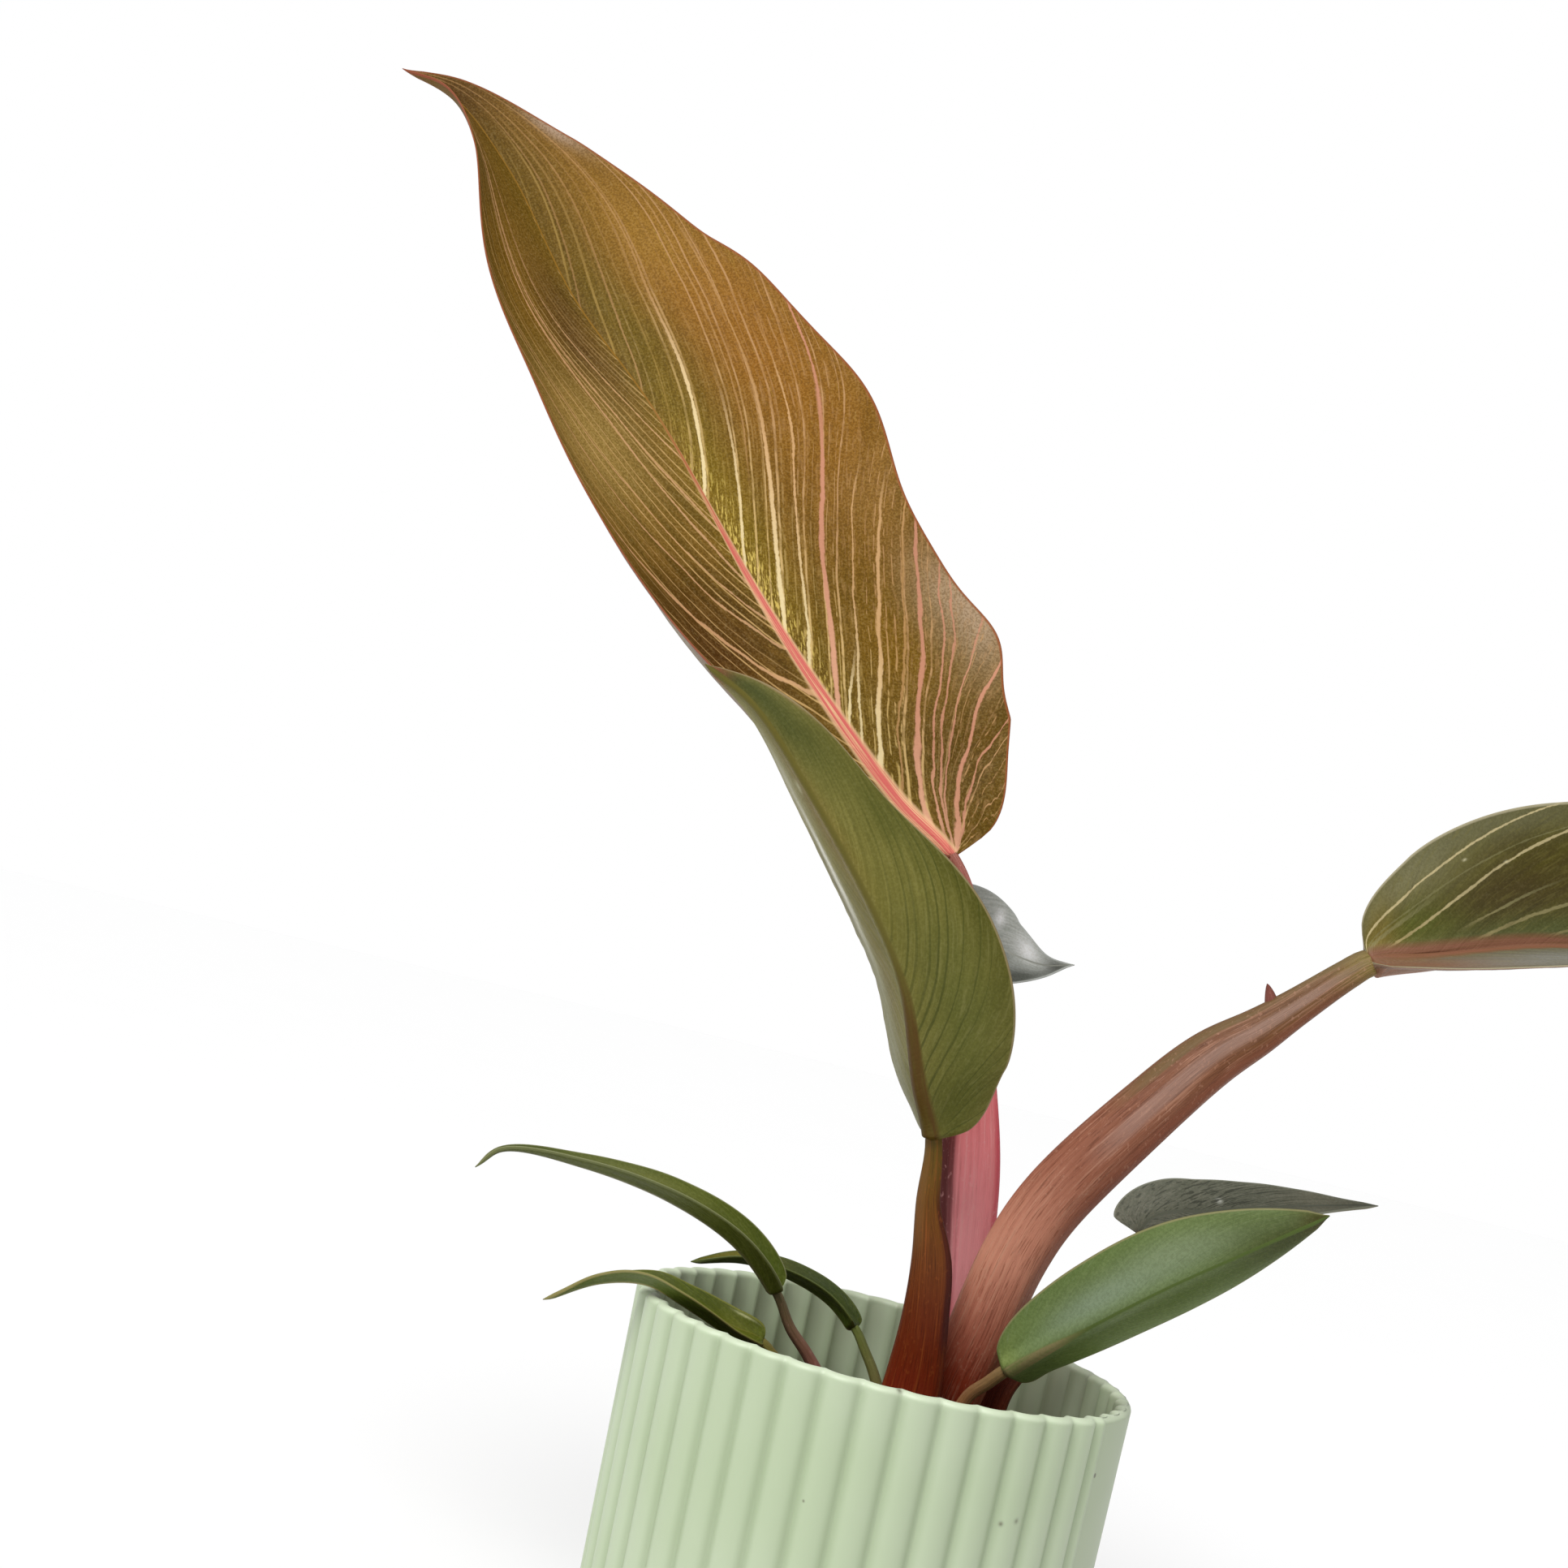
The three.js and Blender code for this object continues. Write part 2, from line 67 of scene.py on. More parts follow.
# A leaf's route runs up its stalk and on through its blade, which starts at point blade_at.
# face is where the blade looks at base, middle and tip. widest, base and point shape its
# outline. stalk and sheath are half widths from foot to top, and depth is the stalk's
# thickness for each step of its width.
LEAVES = {
    "tall": dict(
        route=[
            (15, 9, 66), (15, 9, 92), (13, 9, 115), (10, 10, 137), (5, 12, 162), (-1, 13, 183),
            (-7.5, 14, 193), (-23, 18, 204.5), (-59.5, 25, 239.5), (-101.5, 31, 286.5), (-129, 34, 312),
            (-155, 36, 343.5), (-175, 36, 361), (-190, 35, 366),
        ],
        blade_at=6, face=[(0.1, -1, 0.2)] * 3,
        left=half(40, (5, 12, 70), (115, 60, 25)),
        right=half(44, (5, 0, 0), swells=[
            (0.06, 3, -2, 0.04), (0.16, 6, -3, 0.05), (0.32, -2, 3, 0.06), (0.46, 4.5, 0, 0.08),
            (0.62, 5, 0, 0.08), (0.74, 4.5, 0, 0.08)]),
        widest=0.42, base=0.75, point=1.25, left_veins=(0.15, 1.2),
        stalk=(4.6, 4.8, 5, 5.2, 3.4, 1.8, 1.7), sheath=(0, 0, 1.2, 2.6, 2.4, 0, 0), depth=0.7, rows=260,
        columns=34,
    ),
    "front": dict(
        route=[
            (7, -8, 66), (7, -8.5, 80), (7.5, -9, 90), (7, -10, 100), (5, -11, 112), (3, -11, 123),
            (1.5, -10, 135), (-3, -14, 145), (-9.5, -20, 162), (-17.5, -24, 174), (-36, -27, 195),
            (-50.5, -28, 209), (-62, -28, 215),
        ],
        blade_at=6, face=[(0.2, 1, 0.2)] * 3,
        left=half(19.5, (10, 10, 20), 20, swells=[(0.6, -3.4, 0, 0.15)]),
        right=half(24.5, (50, 51, 50), 20),
        widest=0.28, base=0.83, point=1.17, stalk=(5.6, 5.9, 5.6, 4.4, 2.9, 2.35, 1.7),
        sheath=(0, 0, 0, 0.6, 2.2, 0, 0), depth=0.6, rows=170, columns=24,
    ),
    "side": dict(
        route=[
            (14, 0.5, 66), (14.5, 0, 82), (18, -2, 100), (22, -2, 117), (27, -1, 128.5),
            (42.5, -0.5, 151), (52, 0, 163), (60, 0, 170.5), (66, 0.5, 176.5), (75.5, 1.5, 186),
            (79, 2, 189), (90, 4, 193), (118, 10, 202), (158, 22, 206), (190, 30, 201), (210, 34, 193),
        ],
        blade_at=10, face=[(0, -0.9, 0.4), (0, -0.9, 0.4), (0, -0.8, 0.5)],
        left=half(30.5, 20, 10),
        right=half(31, 52, 10),
        widest=0.46, base=0.8, point=1, stalk=(5.4, 5.8, 6.4, 6.6, 6.7, 6.3, 5.6, 3.8, 2.9), depth=0.6,
        thorn=0.862, rows=170, columns=26,
    ),
    "back": dict(
        route=[
            (13, 16, 66), (13.5, 16, 92), (13, 18, 112), (8, 26, 136), (-3, 36, 160), (-11, 40, 172),
            (-14, 39, 177.5), (-1.5, 42.5, 181), (10, 46, 178), (18, 47.5, 177.2), (25, 48, 179),
        ],
        blade_at=6, face=[(0.2, -0.9, 0.5)] * 3,
        left=half(11, 10),
        right=half(13, 10),
        widest=0.36, base=0.7, point=1.85, stalk=(2.4, 2.3, 2.1, 1.8, 1.5, 1.2), depth=0.8, rows=80,
        columns=14,
    ),
    "low_right": dict(
        route=[
            (24, 6, 66), (24, 6, 80), (25, 6.5, 89.5), (30.5, 9.5, 98.5), (36.5, 13.5, 107),
            (42, 18, 115), (46.5, 22, 121), (48.5, 24, 124.5), (50, 25, 127.5), (54, 26, 130),
            (61, 27, 132), (73.5, 28, 136), (96.5, 30, 142),
        ],
        blade_at=7, face=[(-0.5, -0.6, 0.5), (-0.2, -0.6, 0.8), (0, -0.6, 0.8)],
        left=half(8.6, 10),
        right=half(6, 10),
        widest=0.17, base=0.33, point=1.4, stalk=(3, 3.1, 3.1, 3, 2.7, 2.2, 1.7, 1.3), depth=0.6, rows=90,
        columns=14,
    ),
    "near_right": dict(
        route=[
            (16, -11, 66), (16, -11, 82), (18, -12, 90), (21, -13, 93.5), (23.5, -14, 96.5),
            (31.5, -17, 104.5), (47.5, -22, 119), (61, -26, 130), (73, -29, 139.5),
        ],
        blade_at=4, face=[(0, 1, 0.2)] * 3,
        left=half(7.6, 25, 10, swells=[(0.03, 1.2, 0, 0.05)]),
        right=half(10, 10, 10),
        widest=0.5, base=0.8, point=1, stalk=(1.6, 1.6, 1.4, 1.2, 1.2), depth=0.8, rows=110, columns=16,
    ),
    "long_left": dict(
        route=[
            (-4, -3, 66), (-7, -3.5, 80), (-13.5, -5, 88.5), (-18, -6.5, 93), (-22, -8, 99),
            (-31, -12, 107), (-45, -16, 112.5), (-63, -19, 115), (-79.5, -21, 114.2), (-83.5, -22, 109.8),
        ],
        blade_at=4, face=[(0.6, -0.3, 0.7), (0.2, -0.35, 0.94), (0, -0.35, 0.9)],
        left=half(4.2, 50),
        right=half(5.5, (30, 15, 15)),
        widest=0.22, base=0.4, point=1.6, stalk=(1.6, 1.6, 1.5, 1.3, 1.1), depth=0.8, rows=110,
        columns=12,
    ),
    "rim_left": dict(
        route=[
            (-2, -13, 66), (-6, -13.5, 79), (-13, -15, 85.5), (-18.5, -17, 88.5), (-22, -18, 91),
            (-28, -20, 92.4), (-37.5, -22, 95.6), (-45, -22, 97.4), (-54.5, -20, 95), (-65, -18, 88.5),
        ],
        blade_at=4, face=[(0.4, -0.6, 0.7), (0, -0.3, 1), (-0.4, -0.2, 0.9)],
        left=half(4.5, 45),
        right=half(3.6, (40, 15, 15)),
        widest=0.25, base=0.5, point=1.6, stalk=(1.5, 1.5, 1.4, 1.2, 1.1), depth=0.8, rows=90, columns=12,
    ),
    "rim_back": dict(
        route=[
            (4, 10, 66), (3, 12, 78), (0, 14, 84.5), (-3, 16, 88.5), (-6, 18, 92), (-12, 20, 96),
            (-20.5, 21, 98.5), (-32, 20, 99.5), (-43, 17, 97),
        ],
        blade_at=4, face=[(0.4, -0.3, 0.9), (0, -0.3, 1), (-0.3, -0.3, 1)],
        left=half(3.6, 40),
        right=half(3.2, 30),
        widest=0.35, base=0.5, point=1, stalk=(1.5, 1.5, 1.4, 1.2, 1.1), depth=0.8, rows=90, columns=12,
    ),
}


# Sizes and colours

# How bright the studio light shows white, and what the sky's gloss adds to a leaf
LIGHT = 1.12
LEAF_GLOSS = 0.02


def paint(red, green, blue, gloss=0.0):
    """Linear colour of a finish that reads as these screen values under the studio light."""
    tones = []
    for value in (red, green, blue):
        share = value / 255
        tone = share / 12.92 if share <= 0.04045 else ((share + 0.055) / 1.055) ** 2.4
        tones.append(max(tone / LIGHT - gloss, 0.002))
    return (*tones, 1.0)


def flesh(red, green, blue):
    """The same for a leaf or a stalk."""
    return paint(red, green, blue, LEAF_GLOSS)


def colour_property(name, description, default):
    return bpy.props.FloatVectorProperty(
        name=name, description=description, default=paint(*default), size=4,
        subtype="COLOR", min=0.0, max=1.0)


def length_property(name, description, default):
    return bpy.props.FloatProperty(
        name=name, description=description, default=default, min=0.0, unit="LENGTH")


class PhilodendronPot(bpy.types.PropertyGroup):
    height: length_property("Height", "From the foot to the top of the rim", 0.095)
    rim_radius: length_property("Rim radius", "From the axis to the crests of the reeds", 0.05)
    taper: bpy.props.FloatProperty(
        name="Taper", description="How much narrower each metre down is", default=0.04)
    wall: length_property("Wall", "Thickness of the wall", 0.0026)
    floor: length_property("Floor", "Thickness of the floor", 0.003)
    reeds: bpy.props.IntProperty(name="Reeds", description="Reeds around the wall", default=44)
    reed_depth: length_property("Reed depth", "From crest to groove", 0.0012)
    first_groove: bpy.props.FloatProperty(
        name="First groove", description="Turn of the first groove from the front",
        default=math.radians(-2), subtype="ANGLE")
    panel_from: bpy.props.FloatProperty(
        name="Panel from", description="Where the smooth panel starts",
        default=math.radians(58), subtype="ANGLE")
    panel_to: bpy.props.FloatProperty(
        name="Panel to", description="Where the smooth panel ends",
        default=math.radians(124), subtype="ANGLE")
    colour: colour_property("Plastic", "Sage green of the pot", (194, 208, 177))


class PhilodendronMix(bpy.types.PropertyGroup):
    top: length_property("Level", "Height of the potting mix", 0.073)
    lump: length_property("Lumps", "Height of its lumps", 0.0009)
    chips: bpy.props.IntProperty(
        name="Bark", description="Bark chips for each square metre", default=110000)
    grains: bpy.props.IntProperty(
        name="Perlite", description="Perlite grains for each square metre", default=22000)
    bark: colour_property("Bark", "Brown of the bark chips", (96, 66, 44))
    perlite: colour_property("Perlite", "White of the perlite grains", (222, 214, 200))


class PhilodendronLeaves(bpy.types.PropertyGroup):
    thickness: length_property("Thickness", "Thickness of a blade beside its midrib", 0.0007)
    bronze: colour_property("Bronze", "Ground of the tall blade", (140, 104, 34))
    cream: colour_property("Cream", "Streaks beside the midrib", (248, 226, 172))
    coral: colour_property("Coral", "Midrib of the tall blade", (226, 112, 104))


class PhilodendronStage(bpy.types.PropertyGroup):
    sky: bpy.props.FloatProperty(
        name="Sky", description="Brightness of the light from all round", default=0.45)
    key: bpy.props.FloatProperty(
        name="Key light", description="Strength of the light from the upper left", default=2.6)


# Node trees

class Wire:
    """A socket of a node tree. Arithmetic on it adds Math nodes."""

    def __init__(self, bench, socket):
        self.bench = bench
        self.socket = socket

    def math(self, operation, *others):
        return self.bench.node("ShaderNodeMath", {"operation": operation}, (self, *others))

    def __add__(self, other):
        return self.math("ADD", other)

    def __radd__(self, other):
        return self.math("ADD", other)

    def __sub__(self, other):
        return self.math("SUBTRACT", other)

    def __rsub__(self, other):
        return self.bench.node("ShaderNodeMath", {"operation": "SUBTRACT"}, (other, self))

    def __mul__(self, other):
        return self.math("MULTIPLY", other)

    def __rmul__(self, other):
        return self.math("MULTIPLY", other)

    def __truediv__(self, other):
        return self.math("DIVIDE", other)

    def __pow__(self, other):
        return self.math("POWER", other)

    def __abs__(self):
        return self.math("ABSOLUTE")

    def least(self, other):
        return self.math("MINIMUM", other)

    def most(self, other):
        return self.math("MAXIMUM", other)


class Bench:
    """Adds nodes to one tree."""

    def __init__(self, tree):
        self.tree = tree

    def node(self, kind, settings=None, inputs=(), out=0):
        """Adds a node: its settings first, then the values or wires of its sockets."""
        made = self.tree.nodes.new(kind)
        for key, value in (settings or {}).items():
            if key == "stops":
                set_stops(made.color_ramp, value)
            else:
                setattr(made, key, value)
        pairs = inputs.items() if isinstance(inputs, dict) else enumerate(inputs)
        for key, value in pairs:
            socket = socket_named(made.inputs, key)
            if isinstance(value, Wire):
                self.tree.links.new(value.socket, socket)
            else:
                socket.default_value = value
        if out is None:
            return made
        return Wire(self, socket_named(made.outputs, out))

    def split(self, vector):
        made = self.node("ShaderNodeSeparateXYZ", inputs=(vector,), out=None)
        return [Wire(self, socket) for socket in made.outputs]

    def join(self, x, y, z):
        return self.node("ShaderNodeCombineXYZ", inputs=(x, y, z))

    def stretch(self, vector, sizes):
        return self.node("ShaderNodeVectorMath", {"operation": "MULTIPLY"}, (vector, sizes))

    def noise(self, vector, scale, detail=2.0, roughness=0.5):
        return self.node("ShaderNodeTexNoise", inputs={
            "Vector": vector, "Scale": scale, "Detail": detail, "Roughness": roughness})

    def soft(self, value, low, high):
        """Rises smoothly from 0 at low to 1 at high."""
        return self.node(
            "ShaderNodeMapRange", {"interpolation_type": "SMOOTHSTEP"},
            {"Value": value, "From Min": low, "From Max": high})

    def within(self, mask, value, start, stop, rise, fall):
        """Keeps a mask to a range. rise and fall are how far each end spreads to both sides."""
        if start > 0:
            mask = mask * self.soft(value, start - rise[0], start + rise[1])
        if stop < 1:
            mask = mask * (1 - self.soft(value, stop - fall[0], stop + fall[1]))
        return mask

    def mix(self, share, first, second, blend="MIX"):
        return self.node(
            "ShaderNodeMix", {"data_type": "RGBA", "blend_type": blend},
            {"Factor_Float": share, "A_Color": first, "B_Color": second}, "Result_Color")

    def multiply(self, share, first, second):
        return self.mix(share, first, second, "MULTIPLY")

    def attribute(self, name):
        return self.node("ShaderNodeAttribute", {"attribute_name": name}, out="Vector")

    def hill(self, terms):
        """A smooth hill: 1 where every value is at its place, falling over its span."""
        total = 0
        for value, place, span in terms:
            away = (value - place) / span
            total = away * away + total
        return (total * -1).math("EXPONENT")


def socket_named(sockets, key):
    if not isinstance(key, int):
        for socket in sockets:
            if socket.identifier == key:
                return socket
    return sockets[key]


def set_stops(ramp, stops):
    while len(ramp.elements) < len(stops):
        ramp.elements.new(1.0)
    for element, (place, colour) in zip(ramp.elements, stops):
        element.position = place
        element.color = colour


def new_material(name):
    material = bpy.data.materials.new(name)
    material.use_nodes = True
    material.node_tree.nodes.clear()
    return material, Bench(material.node_tree)


def finish_material(bench, colour, roughness, bump=None, distance=0.0001, settings=None):
    """The shader of a finish. settings are its even values."""
    inputs = {"Base Color": colour, "Roughness": roughness}
    inputs.update(settings or {})
    if bump is not None:
        inputs["Normal"] = bench.node("ShaderNodeBump", inputs={
            "Strength": 1.0, "Distance": distance, "Height": bump})
    shader = bench.node("ShaderNodeBsdfPrincipled", inputs=inputs)
    bench.node("ShaderNodeOutputMaterial", inputs=(shader,), out=None)


def object_place(bench):
    return bench.node("ShaderNodeTexCoord", out="Object")


# Meshes

def turns(count):
    """Even angles around a full turn."""
    return np.arange(count) * math.tau / count


def with_poles(values):
    """The points of a body's rings, then the middles of its first and last ring."""
    return np.vstack([values.reshape(-1, 3), values[0].mean(axis=0), values[-1].mean(axis=0)])


def closed_skin(name, *bodies):
    """A closed mesh in metres of bodies: their rings in millimetres, and vectors on its points."""
    faces = []
    start = 0
    for rings, _ in bodies:
        rows, around = rings.shape[:2]
        step = np.arange(around)
        ahead = (step + 1) % around
        low = (np.arange(rows - 1) * around)[:, None]
        quads = np.stack([low + step, low + ahead, low + around + ahead, low + around + step], axis=-1)
        pole = np.full(around, rows * around)
        last = (rows - 1) * around
        caps = (np.stack([pole, ahead, step], axis=-1),
                np.stack([pole + 1, last + step, last + ahead], axis=-1))
        for part in (quads.reshape(-1, 4), *caps):
            faces += (part + start).tolist()
        start += rows * around + 2
    mesh = bpy.data.meshes.new(name)
    points = np.vstack([with_poles(rings) for rings, _ in bodies])
    mesh.from_pydata((points * MM).tolist(), [], faces)
    for mark in bodies[0][1]:
        values = np.vstack([with_poles(marks[mark]) for _, marks in bodies])
        attribute = mesh.attributes.new(mark, "FLOAT_VECTOR", "POINT")
        attribute.data.foreach_set("vector", values.astype(np.float32).ravel())
    mesh.shade_smooth()
    return mesh


def add_object(name, data):
    made = bpy.data.objects.new(name, data)
    bpy.context.scene.collection.objects.link(made)
    return made


def place_piece(name, mesh, node, material=None):
    """Puts a mesh in the scene in place of a CAD node."""
    piece = add_object(name, mesh)
    if material is not None:
        mesh.materials.append(material)
    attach(piece, "root")
    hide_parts(node)


def geometry_tree(name, inputs):
    """A Geometry Nodes tree with named inputs, and the wires from them."""
    tree = bpy.data.node_groups.new(name, "GeometryNodeTree")
    tree.interface.new_socket("Geometry", in_out="INPUT", socket_type="NodeSocketGeometry")
    for label, kind in inputs.items():
        tree.interface.new_socket(label, in_out="INPUT", socket_type=f"NodeSocket{kind}")
    tree.interface.new_socket("Geometry", in_out="OUTPUT", socket_type="NodeSocketGeometry")
    bench = Bench(tree)
    entry = bench.node("NodeGroupInput", out=None)
    wires = {socket.name: Wire(bench, socket) for socket in entry.outputs if socket.name}
    return tree, bench, wires


def close_tree(bench, geometry):
    whole = bench.node("GeometryNodeRealizeInstances", inputs=(geometry,))
    bench.node("NodeGroupOutput", inputs=(whole,), out=None)


def grown_mesh(name, mesh, tree, values):
    """The plain mesh that a tree makes of a mesh."""
    carrier = add_object(name, mesh)
    modifier = carrier.modifiers.new("Growth", "NODES")
    modifier.node_group = tree
    for item in tree.interface.items_tree:
        if item.in_out == "INPUT" and item.name in values:
            modifier[item.identifier] = values[item.name]
    graph = bpy.context.evaluated_depsgraph_get()
    made = bpy.data.meshes.new_from_object(
        carrier.evaluated_get(graph), preserve_all_data_layers=True, depsgraph=graph)
    made.name = name
    bpy.data.objects.remove(carrier)
    if not made.polygons:
        raise RuntimeError(f"{name} has no faces")
    return made


# The pot

def pot_profile(pot):
    """Stations from the middle of the underside, up the wall, over the rim and down inside.

    Each is a radius, how far the reeds show there, and a height.
    """
    chamfer = 0.0025
    edge = 0.0013
    fillet = 0.003
    hollow = 0.0008

    def outer(z):
        return pot.rim_radius - pot.taper * (pot.height - z)

    def inner(z):
        return outer(z) - pot.wall

    foot = outer(0) - chamfer - pot.reed_depth
    stations = [(radius, 0, hollow) for radius in (0, foot * 0.5, foot - 0.006)]
    stations += [(foot - inset, 0, z) for inset, z in (
        (0.0052, 0.0007), (0.0046, 0), (0.0008, 0), (0, 0.0001))]
    for share in np.linspace(0.15, 1, 6):
        z = chamfer * share
        stations.append((foot + (outer(chamfer) - foot) * share**0.8, share, z))
    shoulder = pot.height - edge
    for z in np.linspace(chamfer, shoulder, 26)[1:]:
        stations.append((outer(z), 1, z))
    middle = outer(pot.height) - pot.wall / 2
    for angle in np.radians(np.linspace(0, 180, 13)[1:-1]):
        stations.append((middle + pot.wall / 2 * np.cos(angle), 1, shoulder + edge * np.sin(angle)))
    for z in np.linspace(shoulder, pot.floor + fillet, 22):
        stations.append((inner(z), 1, z))
    for angle in np.radians(np.linspace(0, 90, 6)[1:]):
        reach = inner(pot.floor) - fillet * (1 - np.cos(angle))
        stations.append((reach, 1 - angle / 3, pot.floor + fillet * (1 - np.sin(angle))))
    stations += [(inner(pot.floor) * share, 0, pot.floor) for share in (0.75, 0.4, 0)]
    return stations


def pot_tree():
    """Turns a profile around the axis and presses the reeds into it."""
    tree, bench, wires = geometry_tree("Reeded pot", {
        "Stations": "Int", "Rim Station": "Int", "Reeds": "Int", "Steps": "Int", "Reed Depth": "Float",
        "First Groove": "Float", "Panel From": "Float", "Panel To": "Float",
        "Material": "Material"})
    count = wires["Reeds"] * wires["Steps"] + 1
    grid = bench.node("GeometryNodeMeshGrid", inputs={
        "Size X": 1.0, "Size Y": 1.0, "Vertices X": count, "Vertices Y": wires["Stations"]})
    x, y, _ = bench.split(bench.node("GeometryNodeInputPosition"))
    around = x + 0.5
    station = ((y + 0.5) * (wires["Stations"] - 1)).math("ROUND")
    profile = bench.node("GeometryNodeSampleIndex", {"data_type": "FLOAT_VECTOR"}, {
        "Geometry": wires["Geometry"], "Value": bench.node("GeometryNodeInputPosition"),
        "Index": station})
    radius, relief, height = bench.split(profile)
    across = abs((around * wires["Reeds"]).math("FRACT") * 2 - 1)
    turn = around * math.tau + wires["First Groove"]
    blur = math.radians(0.8)
    started = bench.soft(turn, wires["Panel From"] - blur, wires["Panel From"] + blur)
    ended = bench.soft(turn, wires["Panel To"] - blur, wires["Panel To"] + blur)
    panel = started * (1 - ended) * station.math("LESS_THAN", wires["Rim Station"])
    reed = across ** 2.2
    inset = (reed + (0.5 - reed) * panel) * wires["Reed Depth"]
    reach = radius - relief * inset
    spot = bench.join(reach * turn.math("SINE"), reach * turn.math("COSINE") * -1, height)
    shaped = bench.node("GeometryNodeSetPosition", inputs={"Geometry": grid, "Position": spot})
    merged = bench.node("GeometryNodeMergeByDistance", inputs={"Geometry": shaped, "Distance": 1e-6})
    finished = bench.node("GeometryNodeSetMaterial", inputs={
        "Geometry": merged, "Material": wires["Material"]})
    close_tree(bench, finished)
    return tree


# Nicks and specks of the wall: place and reach in millimetres
POT_MARKS = [((28.6, -39.8, 77.4), 0.45), ((26.2, -41.4, 76.6), 0.4), ((4.6, -48.2, 94.7), 0.55),
             ((-34.6, -33.6, 94.8), 0.6), ((-7.1, -48.3, 73.5), 0.22)]


def pot_material(pot):
    """Satin sage plastic with a faint mould grain and a few dark specks.
    Painted shade darkens the reed grooves and the smooth panel, and a painted highlight runs along the rim.
    """
    material, bench = new_material("Sage plastic")
    place = object_place(bench)
    cloud = bench.noise(place, 26, 3)
    deep = tuple(value * share for value, share in zip(pot.colour[:3], (0.93, 0.95, 0.9)))
    colour = bench.mix(bench.soft(cloud, 0.35, 0.7), pot.colour, (*deep, 1))
    cells = bench.node("ShaderNodeTexVoronoi", inputs={"Vector": place, "Scale": 95.0}, out=None)
    chance, _, _ = bench.split(Wire(bench, cells.outputs["Color"]))
    speck = bench.soft(Wire(bench, cells.outputs["Distance"]), 0.055, 0.03) * bench.soft(chance, 0.93, 0.94)
    x, y, z = bench.split(place)
    turn = x.math("ARCTAN2", y * -1)
    across = abs(((turn - pot.first_groove) / math.tau * pot.reeds).math("FRACT") * 2 - 1)
    panel = bench.soft(turn, pot.panel_from - 0.02, pot.panel_from + 0.02)
    panel = panel * bench.soft(turn, pot.panel_to + 0.02, pot.panel_to - 0.02)
    reach = (x * x + y * y).math("SQRT") + (z * -1 + pot.height) * pot.taper
    panel = panel * bench.soft(reach, pot.rim_radius - pot.wall * 0.85, pot.rim_radius - pot.wall * 0.6)
    # Painted shade: the grooves between the reeds are darkened, except on the panel and the rim's top.
    wall = (1 - panel) * bench.soft(z, pot.height - 0.0006, pot.height - 0.002)
    colour = bench.multiply(bench.soft(across, 0.45, 1.0) * wall * 0.6, colour, (0.72, 0.75, 0.68, 1))
    # Painted shade: the smooth panel, on the side away from the key light, is darkened.
    colour = bench.multiply(panel * 0.5, colour, (0.76, 0.76, 0.72, 1))
    # Painted highlight: a pale band along the top of the rim.
    crest = bench.soft(z, pot.height - 0.0011, pot.height - 0.0004)
    colour = bench.mix(crest * 0.5, colour, paint(228, 240, 212))
    for spot, reach in POT_MARKS:
        near = zip((x, y, z), (value * MM for value in spot), (reach * MM,) * 3)
        speck = speck + bench.hill(near)
    colour = bench.mix(speck.least(1.0) * 0.85, colour, paint(104, 100, 82))
    grain = bench.noise(place, 2600, 2)
    finish_material(
        bench, colour, bench.noise(place, 60, 2) * 0.12 + 0.4, grain * 0.6, 0.00002,
        {"IOR": 1.46, "Subsurface Weight": 0.06, "Subsurface Radius": (0.006, 0.008, 0.005),
         "Subsurface Scale": 0.4})
    return material


class PHILODENDRON_OT_pot(bpy.types.Operator):
    """Make the reeded pot"""
    bl_idname = "philodendron.pot"
    bl_label = "Reeded pot"

    def execute(self, context):
        pot = context.scene.philodendron_pot
        stations = pot_profile(pot)
        heights = [station[2] for station in stations]
        profile = bpy.data.meshes.new("Pot profile")
        profile.from_pydata(stations, [(i, i + 1) for i in range(len(stations) - 1)], [])
        mesh = grown_mesh("reeded_pot", profile, pot_tree(), {
            "Stations": len(stations), "Rim Station": heights.index(max(heights)),
            "Reeds": pot.reeds, "Steps": 14,
            "Reed Depth": pot.reed_depth, "First Groove": pot.first_groove,
            "Panel From": pot.panel_from, "Panel To": pot.panel_to,
            "Material": pot_material(pot)})
        mesh.shade_smooth()
        place_piece("reeded_pot", mesh, "pot")
        return {"FINISHED"}


# The potting mix

def mix_rings(mix, pot):
    """Rings of the mix: its foot, its wall, then inwards over its lumpy top."""
    gap = 0.3
    foot = pot.floor / MM + gap
    top = mix.top / MM
    angle = turns(150)

    def reach(z):
        return (pot.rim_radius - pot.taper * (pot.height - z * MM) - pot.wall - pot.reed_depth) / MM - gap

    def ring(radius, z):
        return np.stack([radius * np.cos(angle), radius * np.sin(angle), angle * 0 + z], 1)

    rings = [ring(reach(foot) * share, foot) for share in (0.02, 0.5, 0.97)]
    rings += [ring(reach(z), z) for z in (foot + 2, 40, top - 5)]
    for share in np.linspace(1, 0.01, 44):
        lumps = np.sin(5 * angle + 9 * share) + np.sin(11 * angle - 14 * share)
        z = top + mix.lump / MM * lumps * np.sin(np.pi * share) - 1.5 * share**4
        rings.append(ring(reach(top - 3) * share, z))
        for point in rings[-1]:
            crumb = noise.noise(Vector(point) * 0.45) + 0.6 * noise.noise(Vector(point) * 1.1)
            point[2] += 0.7 * crumb - 0.5
    return np.array(rings)


